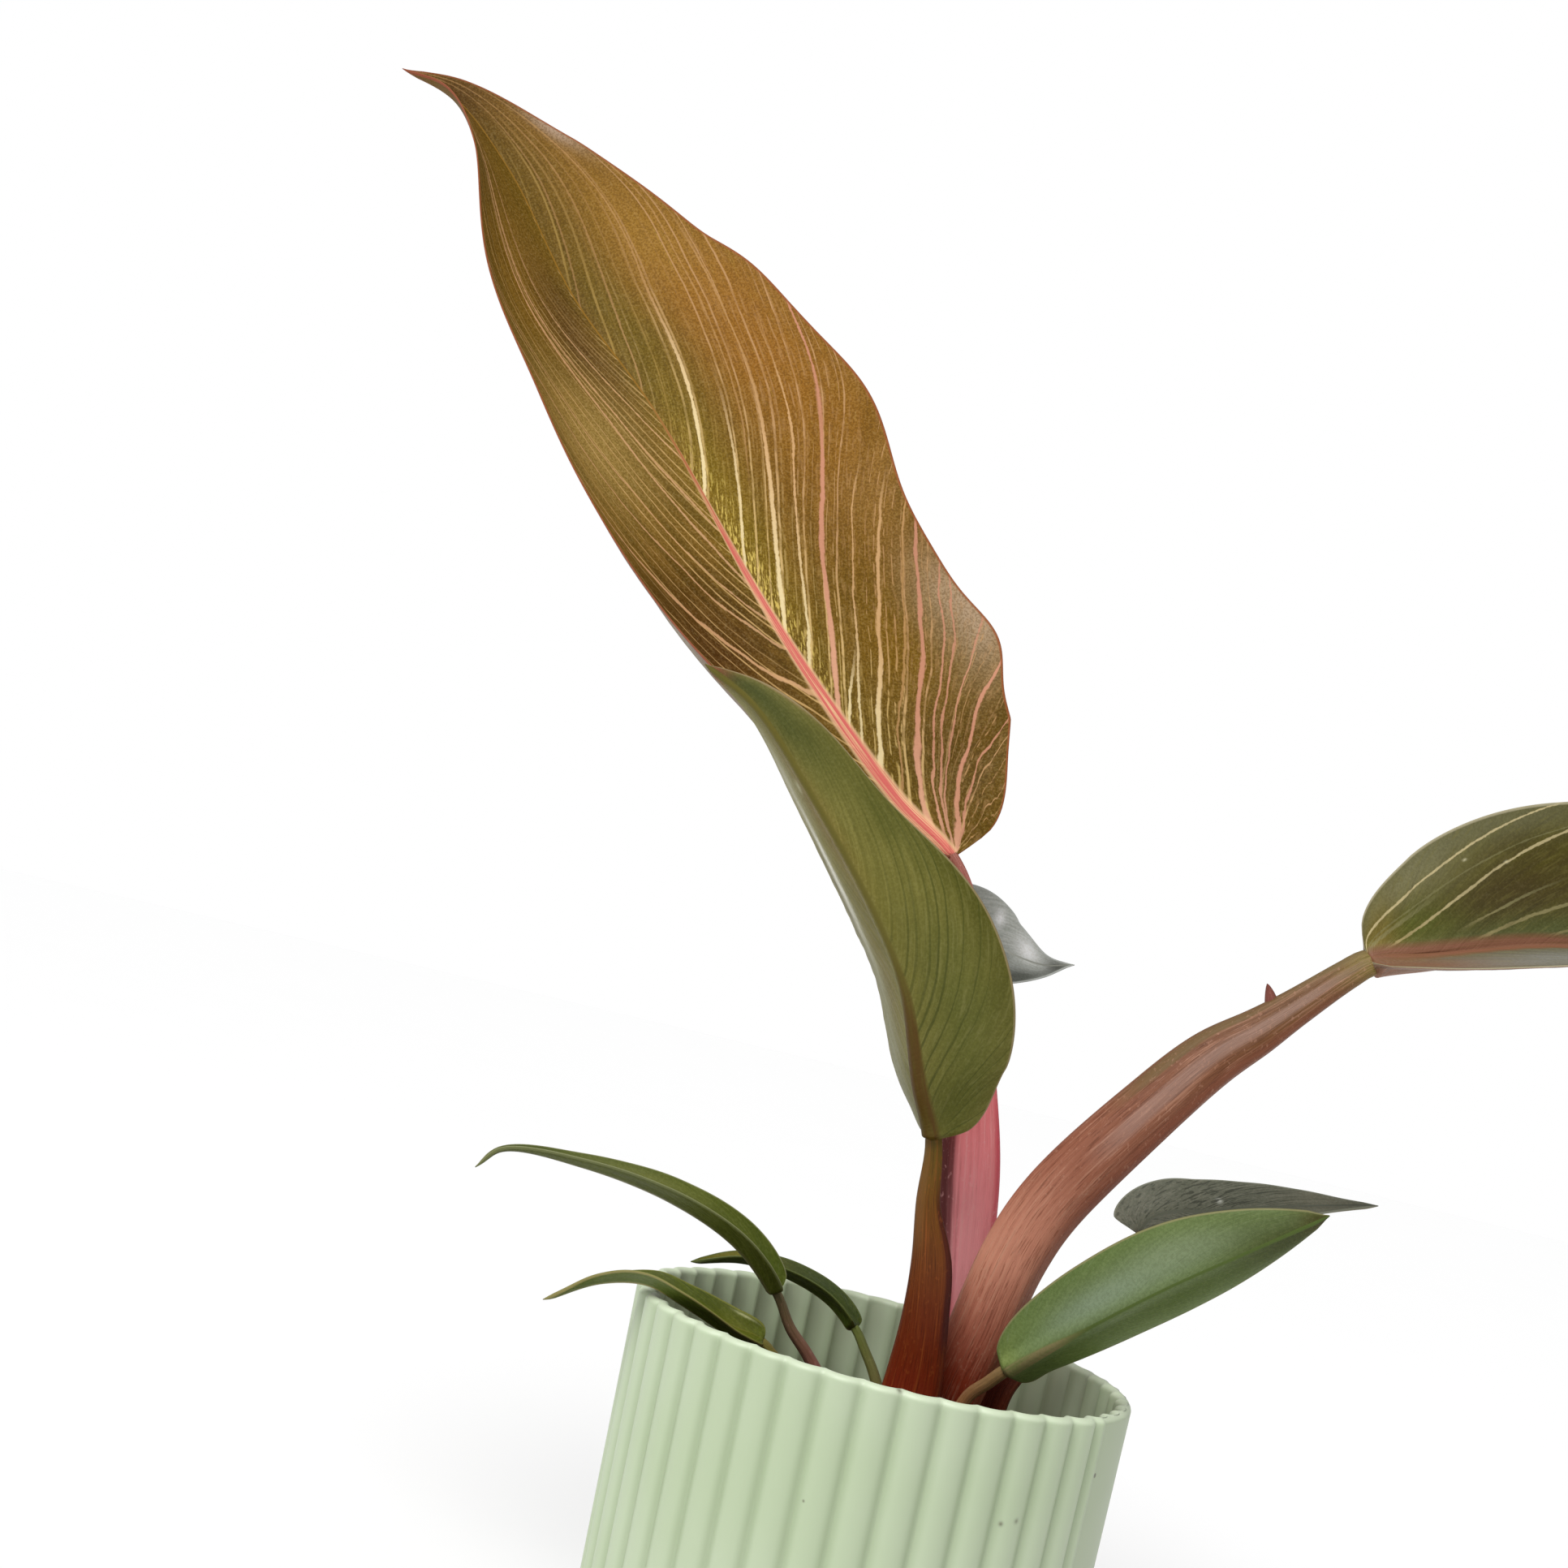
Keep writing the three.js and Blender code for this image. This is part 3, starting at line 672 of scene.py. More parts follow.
def mix_tree():
    """Strews bark chips and perlite grains over the top of the mix."""
    tree, bench, wires = geometry_tree("Potting mix", {
        "Chips": "Float", "Grains": "Float", "Reach": "Float", "Seed": "Int",
        "Bark": "Material", "Perlite": "Material"})
    facing = bench.split(bench.node("GeometryNodeInputNormal"))[2]
    x, y, _ = bench.split(bench.node("GeometryNodeInputPosition"))
    inside = (x * x + y * y).math("SQRT").math("LESS_THAN", wires["Reach"])
    open_top = facing.math("GREATER_THAN", 0.4) * inside
    parts = [bench.node("GeometryNodeSetMaterial", inputs={
        "Geometry": wires["Geometry"], "Material": wires["Bark"]})]
    kinds = (("Chips", "Bark", (0.0009, 0.0007, 0.0004), (0.0029, 0.002, 0.001)),
             ("Grains", "Perlite", (0.0006, 0.0006, 0.0006), (0.0015, 0.0014, 0.0012)))
    for order, (amount, material, least, most) in enumerate(kinds):
        points = bench.node("GeometryNodeDistributePointsOnFaces", inputs={
            "Mesh": wires["Geometry"], "Selection": open_top, "Density": wires[amount],
            "Seed": wires["Seed"] + order})
        ball = bench.node("GeometryNodeMeshIcoSphere", inputs={"Radius": 1.0, "Subdivisions": 2})
        rough = bench.noise(bench.node("GeometryNodeInputPosition"), 0.9 + order, 2)
        shape = bench.node("GeometryNodeSetPosition", inputs={
            "Geometry": ball,
            "Offset": bench.node("ShaderNodeVectorMath", {"operation": "SCALE"}, {
                "Vector": bench.node("GeometryNodeInputPosition"), "Scale": rough * 1.6 - 0.8})})
        turn = bench.node("FunctionNodeRandomValue", {"data_type": "FLOAT_VECTOR"}, {
            "Max": (math.tau, math.tau, math.tau), "Seed": 3 + order})
        size = bench.node("FunctionNodeRandomValue", {"data_type": "FLOAT_VECTOR"}, {
            "Min": least, "Max": most, "Seed": 7 + order})
        strewn = bench.node("GeometryNodeInstanceOnPoints", inputs={
            "Points": points, "Instance": shape, "Rotation": turn, "Scale": size})
        parts.append(bench.node("GeometryNodeSetMaterial", inputs={
            "Geometry": strewn, "Material": wires[material]}))
    joined = bench.node("GeometryNodeJoinGeometry", out=None)
    for part in parts:
        bench.tree.links.new(part.socket, joined.inputs[0])
    close_tree(bench, Wire(bench, joined.outputs[0]))
    return tree


def bark_material(mix):
    material, bench = new_material("Moist bark")
    place = object_place(bench)
    tone = bench.noise(place, 300, 3)
    grain = bench.noise(bench.stretch(place, (900.0, 900.0, 3000.0)), 1, 3)
    colour = bench.mix(bench.soft(tone, 0.35, 0.65), mix.bark, paint(52, 36, 26))
    colour = bench.mix(bench.soft(tone, 0.62, 0.75) * 0.7, colour, paint(132, 92, 58))
    colour = bench.multiply(bench.soft(grain, 0.45, 0.7) * 0.5, colour, (0.5, 0.45, 0.42, 1))
    finish_material(bench, colour, tone * 0.3 + 0.6, grain + tone, 0.0003)
    return material


def perlite_material(mix):
    material, bench = new_material("Perlite")
    place = object_place(bench)
    pits = bench.noise(place, 1800, 3)
    colour = bench.mix(bench.soft(pits, 0.5, 0.7), mix.perlite, paint(178, 164, 142))
    finish_material(bench, colour, pits * 0.1 + 0.8, pits, 0.0002)
    return material


class PHILODENDRON_OT_potting_mix(bpy.types.Operator):
    """Make the potting mix with its bark and perlite"""
    bl_idname = "philodendron.potting_mix"
    bl_label = "Potting mix"

    def execute(self, context):
        mix = context.scene.philodendron_mix
        surface = closed_skin("Mix surface", (mix_rings(mix, context.scene.philodendron_pot), {}))
        mesh = grown_mesh("potting_mix_top", surface, mix_tree(), {
            "Chips": float(mix.chips), "Grains": float(mix.grains), "Reach": 0.041, "Seed": 5,
            "Bark": bark_material(mix), "Perlite": perlite_material(mix)})
        place_piece("potting_mix_top", mesh, "potting_mix")
        return {"FINISHED"}


# Routes and outlines

# Steps of a route from each of its points to the next
PER_SPAN = 24


def smooth_route(points):
    """Points on a smooth line through the given ones, as the CAD draws it."""
    given = np.array(points, float)
    given = np.vstack([2 * given[0] - given[1], given, 2 * given[-1] - given[-2]])
    made = [given[1][None]]
    s = (np.arange(1, PER_SPAN + 1) / PER_SPAN)[:, None]
    for i in range(1, len(given) - 2):
        x0, x1, x2, x3 = given[i - 1:i + 3]
        d0, d1, d2 = (np.linalg.norm(b - a) ** 0.5 for a, b in ((x0, x1), (x1, x2), (x2, x3)))
        leave = ((x1 - x0) / d0 - (x2 - x0) / (d0 + d1) + (x2 - x1) / d1) * d1
        arrive = ((x2 - x1) / d1 - (x3 - x1) / (d1 + d2) + (x3 - x2) / d2) * d1
        made.append((2 * s**3 - 3 * s**2 + 1) * x1 + (s**3 - 2 * s**2 + s) * leave
                    + (3 * s**2 - 2 * s**3) * x2 + (s**3 - s**2) * arrive)
    return np.vstack(made)


def stretches(leaf):
    """The stalk's and the blade's parts of a route."""
    dense = smooth_route(leaf["route"])
    start = PER_SPAN * leaf["blade_at"]
    return dense[:start + 1], dense[start:]


def line_at(points, shares):
    """Places and headings at shares of the length of a line, and that length."""
    steps = np.linalg.norm(np.diff(points, axis=0), axis=1)
    length = np.concatenate([[0], np.cumsum(steps)])
    tangent = np.gradient(points, axis=0)
    spots = shares * length[-1]
    place = np.stack([np.interp(spots, length, points[:, k]) for k in range(3)], axis=1)
    heading = np.stack([np.interp(spots, length, tangent[:, k]) for k in range(3)], axis=1)
    return place, unit(heading), length[-1]


def unit(vectors):
    return vectors / np.linalg.norm(vectors, axis=-1, keepdims=True)


def along(values, t):
    """A smooth value through those given at base, middle and tip."""
    base, middle, tip = values
    return base * (1 - t) * (1 - 2 * t) + 4 * middle * t * (1 - t) + tip * t * (2 * t - 1)


def through(values, t):
    """A smooth value through a list of evenly spaced ones."""
    values = np.array(values, float)
    last = len(values) - 1
    low = np.minimum((t * last).astype(int), last - 1)
    w = t * last - low
    before, start, end, after = (
        values[np.clip(low + shift, 0, last)] for shift in (-1, 0, 1, 2))
    leave = (end - before) / 2
    arrive = (after - start) / 2
    return ((2 * start - 2 * end + leave + arrive) * w**3
            + (3 * end - 3 * start - 2 * leave - arrive) * w**2 + leave * w + start)


def bell(distance, reach):
    """1 at no distance, falling smoothly to 0 at the reach."""
    return 0.5 + 0.5 * np.cos(np.pi * np.clip(distance / reach, 0, 1))


# Blades

# How side veins run: the bend and sweep of their course, how they spread apart towards the
# margin, and how much of that course lies in the lobes behind the base.
VEIN = dict(bend=1.15, sweep=0.24, spread=0.76, lobe=0.15)


def blade_sheet(leaf):
    """The blade's surface: rows from base to tip, columns from left to right margin."""
    t = np.linspace(0, 1, leaf["rows"]) ** 1.25
    place, heading, length = line_at(stretches(leaf)[1], t)
    face = np.stack([along([f[k] for f in leaf["face"]], t) for k in range(3)], axis=1)
    up = unit(face - (face * heading).sum(1)[:, None] * heading)
    right = np.cross(heading, up)
    rising = np.minimum(t / leaf["widest"], 1)
    falling = np.maximum((t - leaf["widest"]) / (1 - leaf["widest"]), 0)
    outline = np.sqrt(1 - (1 - rising) ** 2) ** leaf["base"] * (1 - falling**2) ** leaf["point"]
    inner = np.linspace(0, 1, leaf["columns"] - 2)
    shares = np.concatenate([inner * (0.55 + 0.45 * inner) * 0.965, [0.985, 1]])
    halves = []
    for half, side in ((leaf["left"], -1), (leaf["right"], 1)):
        width = half["width"] * outline + 0.6 - 0.3 * t
        middle = (shares[1:] + shares[:-1]) / 2
        stride = np.diff(shares)[None] * width[:, None]
        angle = np.radians(along(half["fold"], t)[:, None] + along(half["curl"], t)[:, None] * middle)
        start = np.zeros((len(t), 1))
        out = np.concatenate([start, np.cumsum(stride * np.cos(angle), axis=1)], axis=1)
        lift = np.concatenate([start, np.cumsum(stride * np.sin(angle), axis=1)], axis=1)
        for where, outwards, upwards, span in half["swells"]:
            share = np.exp(-((t - where) / span) ** 2)[:, None] * shares**2
            out = out + outwards * share
            lift = lift + upwards * share
        lift = lift + ripple(half["width"], t, shares, side)
        points = (place[:, None] + side * out[..., None] * right[:, None]
                  + lift[..., None] * up[:, None])
        halves.append((side * shares, width, points))
    (left_q, left_width, left_points), (right_q, right_width, right_points) = halves
    q = np.concatenate([left_q[::-1], right_q[1:]])
    points = np.concatenate([left_points[:, ::-1], right_points[:, 1:]], axis=1)
    width = np.where(q[None] < 0, left_width[:, None], right_width[:, None])
    return t, q, width, points, heading, length


def ripple(width, t, shares, side):
    """Slow waves that grow towards the margin, as no blade is quite even."""
    height = 0.011 * width
    slow = np.sin(math.tau * (2.1 * t + 0.3 * side))
    quick = np.sin(math.tau * (5.3 * t - 0.2 * side))
    return height * (slow + 0.4 * quick)[:, None] * shares**2 * np.sin(np.pi * t)[:, None]


def vein_course(leaf, t, q):
    """The same number all along a side vein, from the midrib to the margin."""
    left_sweep, left_spread = leaf.get("left_veins", (VEIN["sweep"], VEIN["spread"]))
    sweep = np.where(q < 0, left_sweep, VEIN["sweep"])
    spread = np.where(q < 0, left_spread, VEIN["spread"])
    bent = np.maximum(np.abs(q), 1e-4) ** VEIN["bend"]
    ahead = (t - sweep * bent) / (1 + spread * bent)
    behind = VEIN["lobe"] * (t / (sweep * bent) - 1)
    return np.maximum(ahead, 0) + np.minimum(behind, 0)


def vein_spacing(leaf, t, q, width, length):
    """Millimetres across the side veins for each step of 1 in their course."""
    course = vein_course(leaf, *np.meshgrid(t, q, indexing="ij"))
    climb = np.gradient(course, t, axis=0) / length
    spread = np.gradient(course, q, axis=1) / width
    return 1 / np.hypot(climb, spread)


def blade_mesh(name, leaf, thickness):
    t, q, width, sheet, heading, length = blade_sheet(leaf)
    t_grid, q_grid = np.meshgrid(t, q, indexing="ij")
    from_rib = np.abs(q_grid) * width
    from_edge = (1 - np.abs(q_grid)) * width
    spacing = vein_spacing(leaf, t, q, width, length)
    normal = np.cross(np.gradient(sheet, axis=1), np.gradient(sheet, axis=0))
    normal = unit(normal - (normal * heading[:, None]).sum(-1, keepdims=True) * heading[:, None])
    end = leaf["stalk"][-1]
    quilt = 0.0035 * width * np.cos(math.tau * 24 * vein_course(leaf, t_grid, q_grid))
    quilt *= (1 - bell(from_rib, 4)) * (1 - bell(from_edge, 3))
    fade = 1 - t_grid
    rib_width = 0.5 + end * fade**0.7
    ridge = bell(from_rib, rib_width * 1.3)
    crest = end * leaf["depth"] * np.exp(-t_grid * length / 14) + 0.16 * fade
    keel = end * 0.9 * fade**1.6 + 0.12 * fade
    depth = thickness * (1 - 0.5 * np.abs(q_grid) ** 6)
    upper = sheet + normal * (quilt + crest * ridge)[..., None]
    lower = sheet + normal * (quilt - depth - keel * bell(from_rib, rib_width * 1.7))[..., None]

    def bead(margin, neighbour):
        middle = (upper[:, margin] + lower[:, margin]) / 2
        outwards = unit(sheet[:, margin] - sheet[:, neighbour])
        return (middle + outwards * thickness * 0.25)[:, None]

    rings = np.concatenate([upper, bead(-1, -2), lower[:, ::-1], bead(0, 1)], axis=1)
    centre = rings.mean(axis=1, keepdims=True)
    dome = np.clip(1 - (t * length + 0.12) / 1.3, 0, 1)
    rings = centre + (rings - centre) * np.sqrt(1 - dome**2)[:, None, None]
    taper = np.array([0.9, 0.75, 0.5, 0.2])[:, None, None]
    middle = rings[-4:].mean(axis=1, keepdims=True)
    rings[-4:] = middle + (rings[-4:] - middle) * taper

    def around(values, under):
        return np.concatenate([values, values[:, -1:], under[:, ::-1], under[:, :1]], axis=1)

    one = np.ones_like(t_grid)
    below = np.concatenate([one * 0, one[:, :1] / 2, one, one[:, :1] / 2], axis=1)
    marks = {
        "leaf": np.stack([around(t_grid, t_grid), around(q_grid, q_grid), below], axis=-1),
        "reach": np.stack([around(from_rib, from_rib), around(from_edge, from_edge),
                           around(spacing, spacing)], axis=-1),
    }
    return closed_skin(name, (rings, marks))


# Finishes of the blades. Places are (along from base to tip, across from -1 at the left
# margin to 1 at the right one). A patch is place, spans, tone and strength. A tone is
# screen values, or the name of one of the user's colours.

def lines(count, width, strength, inner, outer=None, keep=0.5, broken=0.0, side=0, start=-1.0, stop=2.0):
    """Streaks along the side veins: how many for each step of their course, and how wide."""
    return dict(count=count, width=width, strength=strength, inner=inner, outer=outer or inner,
                keep=keep, broken=broken, side=side, start=start, stop=stop)


def brushed(count, strength, inner, outer=None, low=0.52, side=0, stop=2.0):
    """Fine broken streaks, as if brushed along the side veins."""
    return dict(count=count, strength=strength, inner=inner, outer=outer or inner,
                low=low, side=side, start=-1.0, stop=stop)


def streaks(inner, outer, marks, side=1):
    """Bold streaks of one colour on one half of a blade.

    A mark is foot, lean, width, start, stop and strength. The streak leaves the midrib at its
    foot, leans to the tip by its lean, and shows from start to stop of the way to the margin.
    """
    return dict(inner=inner, outer=outer, marks=marks, side=side)


def midrib(colour, edge, far, base, tip, stop):
    """A midrib's middle, its sides, its far end, half widths at both ends, and where it ends."""
    return dict(colour=colour, edge=edge, far=far, base=base, tip=tip, stop=stop)


def face(ground, second, rib, margin, grain=0.3, lines=(), patches=(), brushed=(), speckle=None,
         streaks=()):
    """One face of a blade: two tones of its ground, midrib, margin and what lies on them."""
    return dict(ground=ground, second=second, rib=rib, margin=margin, grain=grain, lines=lines,
                patches=patches, brushed=brushed, speckle=speckle, streaks=streaks)


def blade_look(roughness, upper, under, gloss=0.28):
    return dict(roughness=roughness, upper=upper, under=under, gloss=gloss)


ROSE = (214, 152, 124)
TAN = (198, 154, 106)

BLADE_LOOKS = {
    "tall": blade_look(
        roughness=0.5, gloss=0.1,
        upper=face(
            "bronze", (114, 90, 24), midrib("coral", (250, 204, 158), (152, 114, 52), 1.7, 0.2, 0.58),
            margin=((160, 96, 66), 0.45), grain=0.8,
            lines=[
                lines(78, 0.34, 0.7, (240, 208, 134), TAN, keep=0.2, broken=1.0, side=1, stop=0.4),
                lines(38, 0.4, 0.75, (240, 206, 140), (206, 162, 116),
                      keep=0.3, broken=0.5, side=1, stop=0.56),
                lines(17, 0.46, 0.6, (190, 158, 90), (194, 150, 98),
                      keep=0.1, broken=0.3, side=1, start=0.46),
                lines(46, 0.3, 0.85, (216, 178, 118), (214, 174, 118), keep=0.2, broken=0.25, side=-1),
            ],
            patches=[
                (0.58, 0.7, 0.26, 0.44, (166, 112, 48), 0.85),
                (0.12, 0.4, 0.14, 0.7, (112, 90, 24), 0.75), (0.4, 0.1, 0.22, 0.14, (146, 122, 34), 0.7),
                (0.62, 0.16, 0.14, 0.24, (120, 102, 28), 0.8),
                (0.82, 0.2, 0.12, 0.5, (122, 96, 30), 0.75), (0.62, -0.25, 0.1, 0.26, (84, 60, 20), 0.9),
                # Painted sheen: the pale patch at 0.5 along and -0.58 across.
                (0.5, -0.58, 0.09, 0.4, (178, 148, 86), 0.85), (0.7, -0.6, 0.1, 0.3, (138, 104, 40), 0.6),
                (0.08, 0.66, 0.07, 0.4, (104, 80, 26), 0.7), (0.2, 0.5, 0.06, 0.24, (144, 108, 38), 0.6),
                (0.26, -0.5, 0.1, 0.5, (88, 60, 20), 0.8), (0.72, 0.68, 0.1, 0.3, (172, 130, 60), 0.7),
                (0.32, 0.8, 0.07, 0.16, (150, 112, 58), 0.7),
                # Painted sheen: the pinkish grey patches at 0.2 and 0.855 along, near the right margin.
                (0.2, 0.95, 0.06, 0.18, (206, 178, 150), 0.8),
                (0.2, 0.8, 0.05, 0.12, (150, 124, 84), 0.5),
                (0.855, 0.95, 0.03, 0.12, (200, 172, 150), 0.8),
                (0.95, 0.0, 0.06, 1.5, (104, 74, 34), 0.75),
            ],
            brushed=[
                brushed(190, 0.25, (214, 182, 100), TAN, side=1, stop=0.7),
                brushed(120, 0.2, (176, 142, 84), (170, 132, 84), side=-1, stop=0.8),
            ],
            speckle=dict(colour=(236, 208, 112), patch=(0.32, 0.05, 0.17, 0.09), strength=0.75, even=0.1,
                         count=240),
            streaks=[
                streaks(TAN, (196, 152, 100), marks=[
                    (0.42, 0.565, 0.42, 0.34, 0.9, 0.7), (0.256, 0.495, 0.45, 0.5, 0.95, 0.7),
                    (0.55, 0.62, 0.42, 0.0, 1.1, 0.5), (0.66, 0.7, 0.36, 0.0, 1.1, 0.4),
                    (0.064, 0.265, 0.5, 0.0, 1.1, 0.7), (0.31, 0.5, 0.4, 0.3, 1.1, 0.6)]),
                streaks("cream", (220, 176, 126), marks=[
                    (0.42, 0.565, 0.7, 0.0, 0.4, 1.0), (0.334, 0.553, 0.55, 0.0, 0.36, 0.9),
                    (0.256, 0.495, 0.85, 0.0, 0.55, 1.0), (0.21, 0.452, 0.5, 0.0, 0.75, 0.9),
                    (0.149, 0.252, 0.55, 0.0, 0.26, 0.9), (0.125, 0.33, 0.45, 0.0, 0.8, 0.8),
                    (0.097, 0.286, 0.9, 0.0, 0.9, 0.9)]),
                streaks((236, 178, 146), ROSE, marks=[
                    (0.164, 0.4, 1.15, 0.0, 0.8, 0.95), (0.164, 0.4, 0.65, 0.72, 1.1, 0.85),
                    (0.025, 0.277, 1.2, 0.0, 1.1, 0.9), (0.0, 0.255, 0.55, 0.12, 1.1, 0.8),
                    (-0.015, 0.251, 0.6, 0.12, 1.1, 0.75), (-0.01, 0.2, 0.5, 0.15, 1.1, 0.7),
                    (-0.02, 0.158, 1.15, 0.0, 1.1, 0.9), (-0.01, 0.09, 0.8, 0.0, 1.1, 0.8)]),
                streaks((222, 176, 130), (214, 166, 122), side=-1, marks=[
                    (0.19, 0.25, 1.0, 0.0, 1.1, 0.9), (0.24, 0.36, 0.5, 0.0, 1.1, 0.8),
                    (0.275, 0.42, 0.42, 0.0, 1.1, 0.75), (0.313, 0.72, 0.5, 0.0, 1.1, 0.8),
                    (0.373, 0.69, 0.45, 0.0, 1.1, 0.75), (0.46, 0.74, 0.35, 0.0, 1.1, 0.65)]),
            ],
        ),
        under=face(
            (168, 158, 142), (150, 132, 116),
            midrib((206, 108, 104), (200, 130, 120), (160, 110, 84), 2.3, 0.5, 1.0),
            margin=((166, 96, 76), 0.45),
            lines=[lines(30, 0.5, 0.5, (176, 150, 140), stop=0.8)],
            patches=[(0.4, 0.5, 0.4, 0.6, (150, 110, 94), 0.5), (1.0, 0.0, 0.3, 4.0, (120, 92, 48), 1.0)],
        ),
    ),
    "front": blade_look(
        roughness=0.46, gloss=0.25,
        upper=face(
            (96, 90, 42), (80, 74, 34),
            midrib((170, 90, 76), (180, 130, 100), (150, 100, 76), 1.4, 0.4, 0.9),
            margin=((186, 128, 108), 0.5),
            lines=[lines(30, 0.5, 0.6, (196, 176, 130), (190, 140, 120))],
            patches=[(0.9, 0.0, 0.1, 1.0, (140, 84, 66), 0.7)],
        ),
        under=face(
            (146, 138, 76), (124, 118, 62),
            midrib((98, 76, 44), (102, 88, 48), (112, 104, 54), 1.2, 0.3, 0.4),
            margin=((156, 140, 104), 0.35),
            lines=[lines(27, 0.36, 0.6, (74, 78, 32), (78, 82, 38), keep=0.1, side=-1, stop=0.5)],
            patches=[
                (0.2, -0.5, 0.22, 0.5, (98, 102, 52), 0.85), (0.06, -0.4, 0.08, 0.6, (92, 94, 46), 0.8),
                (0.4, -0.95, 0.3, 0.2, (88, 88, 42), 0.8), (0.88, -0.35, 0.22, 0.6, (66, 76, 40), 0.9),
                (0.6, -0.7, 0.14, 0.3, (92, 94, 48), 0.7), (0.66, 0.1, 0.18, 0.16, (130, 106, 58), 0.6),
                # Painted sheen: the pale grey patches at 0.12, 0.38, 0.5 and 0.74 along on the folded right
                # half, and the near-white painted highlight at 0.56 along.
                (0.12, 0.62, 0.2, 0.34, (158, 156, 124), 0.9),
                (0.38, 0.7, 0.16, 0.2, (170, 168, 136), 0.8),
                (0.5, 0.62, 0.12, 0.1, (190, 186, 160), 0.5), (0.3, 0.3, 0.12, 0.14, (126, 112, 58), 0.6),
                (0.5, 0.7, 0.2, 0.06, (98, 92, 54), 0.75),
                (0.56, 0.54, 0.17, 0.07, (246, 244, 230), 0.95),
                (0.74, 0.6, 0.1, 0.3, (190, 186, 160), 0.7),
                (0.46, 0.96, 0.3, 0.07, (108, 106, 62), 0.85), (0.3, 0.9, 0.14, 0.04, (118, 98, 62), 0.7),
                (0.9, -0.98, 0.08, 0.08, (176, 138, 108), 0.8),
                (0.98, 0.0, 0.03, 2.0, (150, 94, 70), 0.9),
                (0.71, 0.19, 0.012, 0.05, (190, 188, 154), 0.8),
            ],
            brushed=[brushed(110, 0.3, (144, 138, 84), (140, 136, 84))],
        ),
    ),
    "side": blade_look(
        roughness=0.45,
        upper=face(
            (100, 94, 44), (88, 80, 36),
            midrib((140, 98, 78), (130, 94, 70), (126, 98, 70), 2.6, 0.4, 1.0),
            margin=((176, 168, 138), 0.4),
            lines=[lines(30, 0.5, 0.4, (112, 110, 100), side=1)],
            patches=[
                (0.08, -0.25, 0.08, 0.3, (98, 112, 36), 0.85),
                (0.3, -0.12, 0.2, 0.12, (92, 100, 38), 0.8), (0.22, -0.42, 0.12, 0.22, (82, 70, 34), 0.7),
                (0.08, -0.85, 0.1, 0.3, (150, 146, 110), 0.75),
                # Painted reflection: the grey patch at (0.3, 0.6) over the folded right half.
                (0.2, -0.95, 0.2, 0.14, (126, 124, 92), 0.7), (0.3, 0.6, 0.6, 0.5, (150, 150, 146), 0.85),
                (0.02, -0.3, 0.03, 0.5, (140, 124, 66), 0.8), (0.03, 0.5, 0.1, 0.5, (140, 100, 78), 1.0),
                (0.17, -0.73, 0.003, 0.01, (220, 214, 176), 0.9),
                (0.23, -0.63, 0.003, 0.01, (220, 214, 176), 0.9),
            ],
            brushed=[brushed(150, 0.25, (134, 126, 72))],
            streaks=[
                streaks((186, 166, 116), (214, 198, 150), side=-1, marks=[
                    (-0.31, 0.61, 0.6, 0.0, 1.1, 0.9), (-0.02, 0.43, 0.6, 0.0, 1.1, 0.75)]),
                streaks((160, 148, 104), (150, 146, 104), side=-1, marks=[
                    (-0.22, 0.66, 0.4, 0.0, 1.1, 0.4), (-0.12, 0.5, 0.9, 0.0, 0.5, 0.6),
                    (0.067, 0.58, 0.5, 0.24, 0.42, 0.8), (0.116, 0.83, 0.6, 0.0, 1.1, 0.8),
                    (0.24, 0.9, 0.5, 0.0, 1.1, 0.6), (0.38, 0.9, 0.5, 0.0, 1.1, 0.6),
                    (0.55, 0.9, 0.45, 0.0, 1.1, 0.5)]),
            ],
        ),
        under=face(
            (150, 148, 138), (128, 128, 116),
            midrib((152, 104, 86), (150, 112, 90), (150, 112, 90), 1.9, 0.5, 1.0),
            margin=((168, 136, 120), 0.4),
            lines=[lines(30, 0.5, 0.4, (112, 112, 100))],
            patches=[(0.02, 0.4, 0.09, 0.8, (142, 102, 80), 1.0)],
        ),
    ),
    "back": blade_look(
        # Painted reflection: this face's grey-white ground, midrib, margin and lines stand for the sky's
        # glare on a dark leaf, and the two white patches are painted highlights.
        roughness=0.3,
        upper=face(
            (206, 209, 203), (176, 180, 173),
            midrib((196, 198, 188), (196, 198, 188), (150, 152, 142), 0.6, 0.2, 0.9),
            margin=((196, 200, 194), 0.3),
            lines=[lines(24, 0.5, 0.3, (170, 174, 168))],
            patches=[
                (0.4, -0.2, 0.1, 0.5, (176, 180, 172), 0.8),
                (0.49, -0.62, 0.03, 0.2, (252, 253, 252), 1.0),
                (0.72, -0.4, 0.07, 0.4, (252, 253, 252), 1.0),
                (0.6, 0.15, 0.04, 0.3, (160, 164, 156), 0.8), (0.68, 0.8, 0.22, 0.4, (100, 103, 96), 1.0),
                (0.9, 0.3, 0.07, 1.2, (98, 100, 94), 0.95),
            ],
        ),
        under=face(
            (112, 118, 100), (96, 102, 84),
            midrib((128, 92, 76), (120, 100, 84), (120, 100, 84), 1.0, 0.4, 0.9),
            margin=((150, 130, 120), 0.3),
            lines=[lines(24, 0.5, 0.4, (84, 90, 72))],
        ),
    ),
    "low_right": blade_look(
        roughness=0.5,
        upper=face(
            (116, 116, 102), (98, 100, 86),
            midrib((92, 94, 80), (96, 98, 86), (96, 98, 86), 0.6, 0.25, 0.8),
            margin=((132, 134, 118), 0.3),
            patches=[
                (0.2, 0.1, 0.2, 1.0, (94, 96, 82), 0.5), (0.75, 0.0, 0.15, 2.0, (116, 114, 98), 0.6),
                (0.37, -0.33, 0.012, 0.08, (190, 192, 182), 0.9),
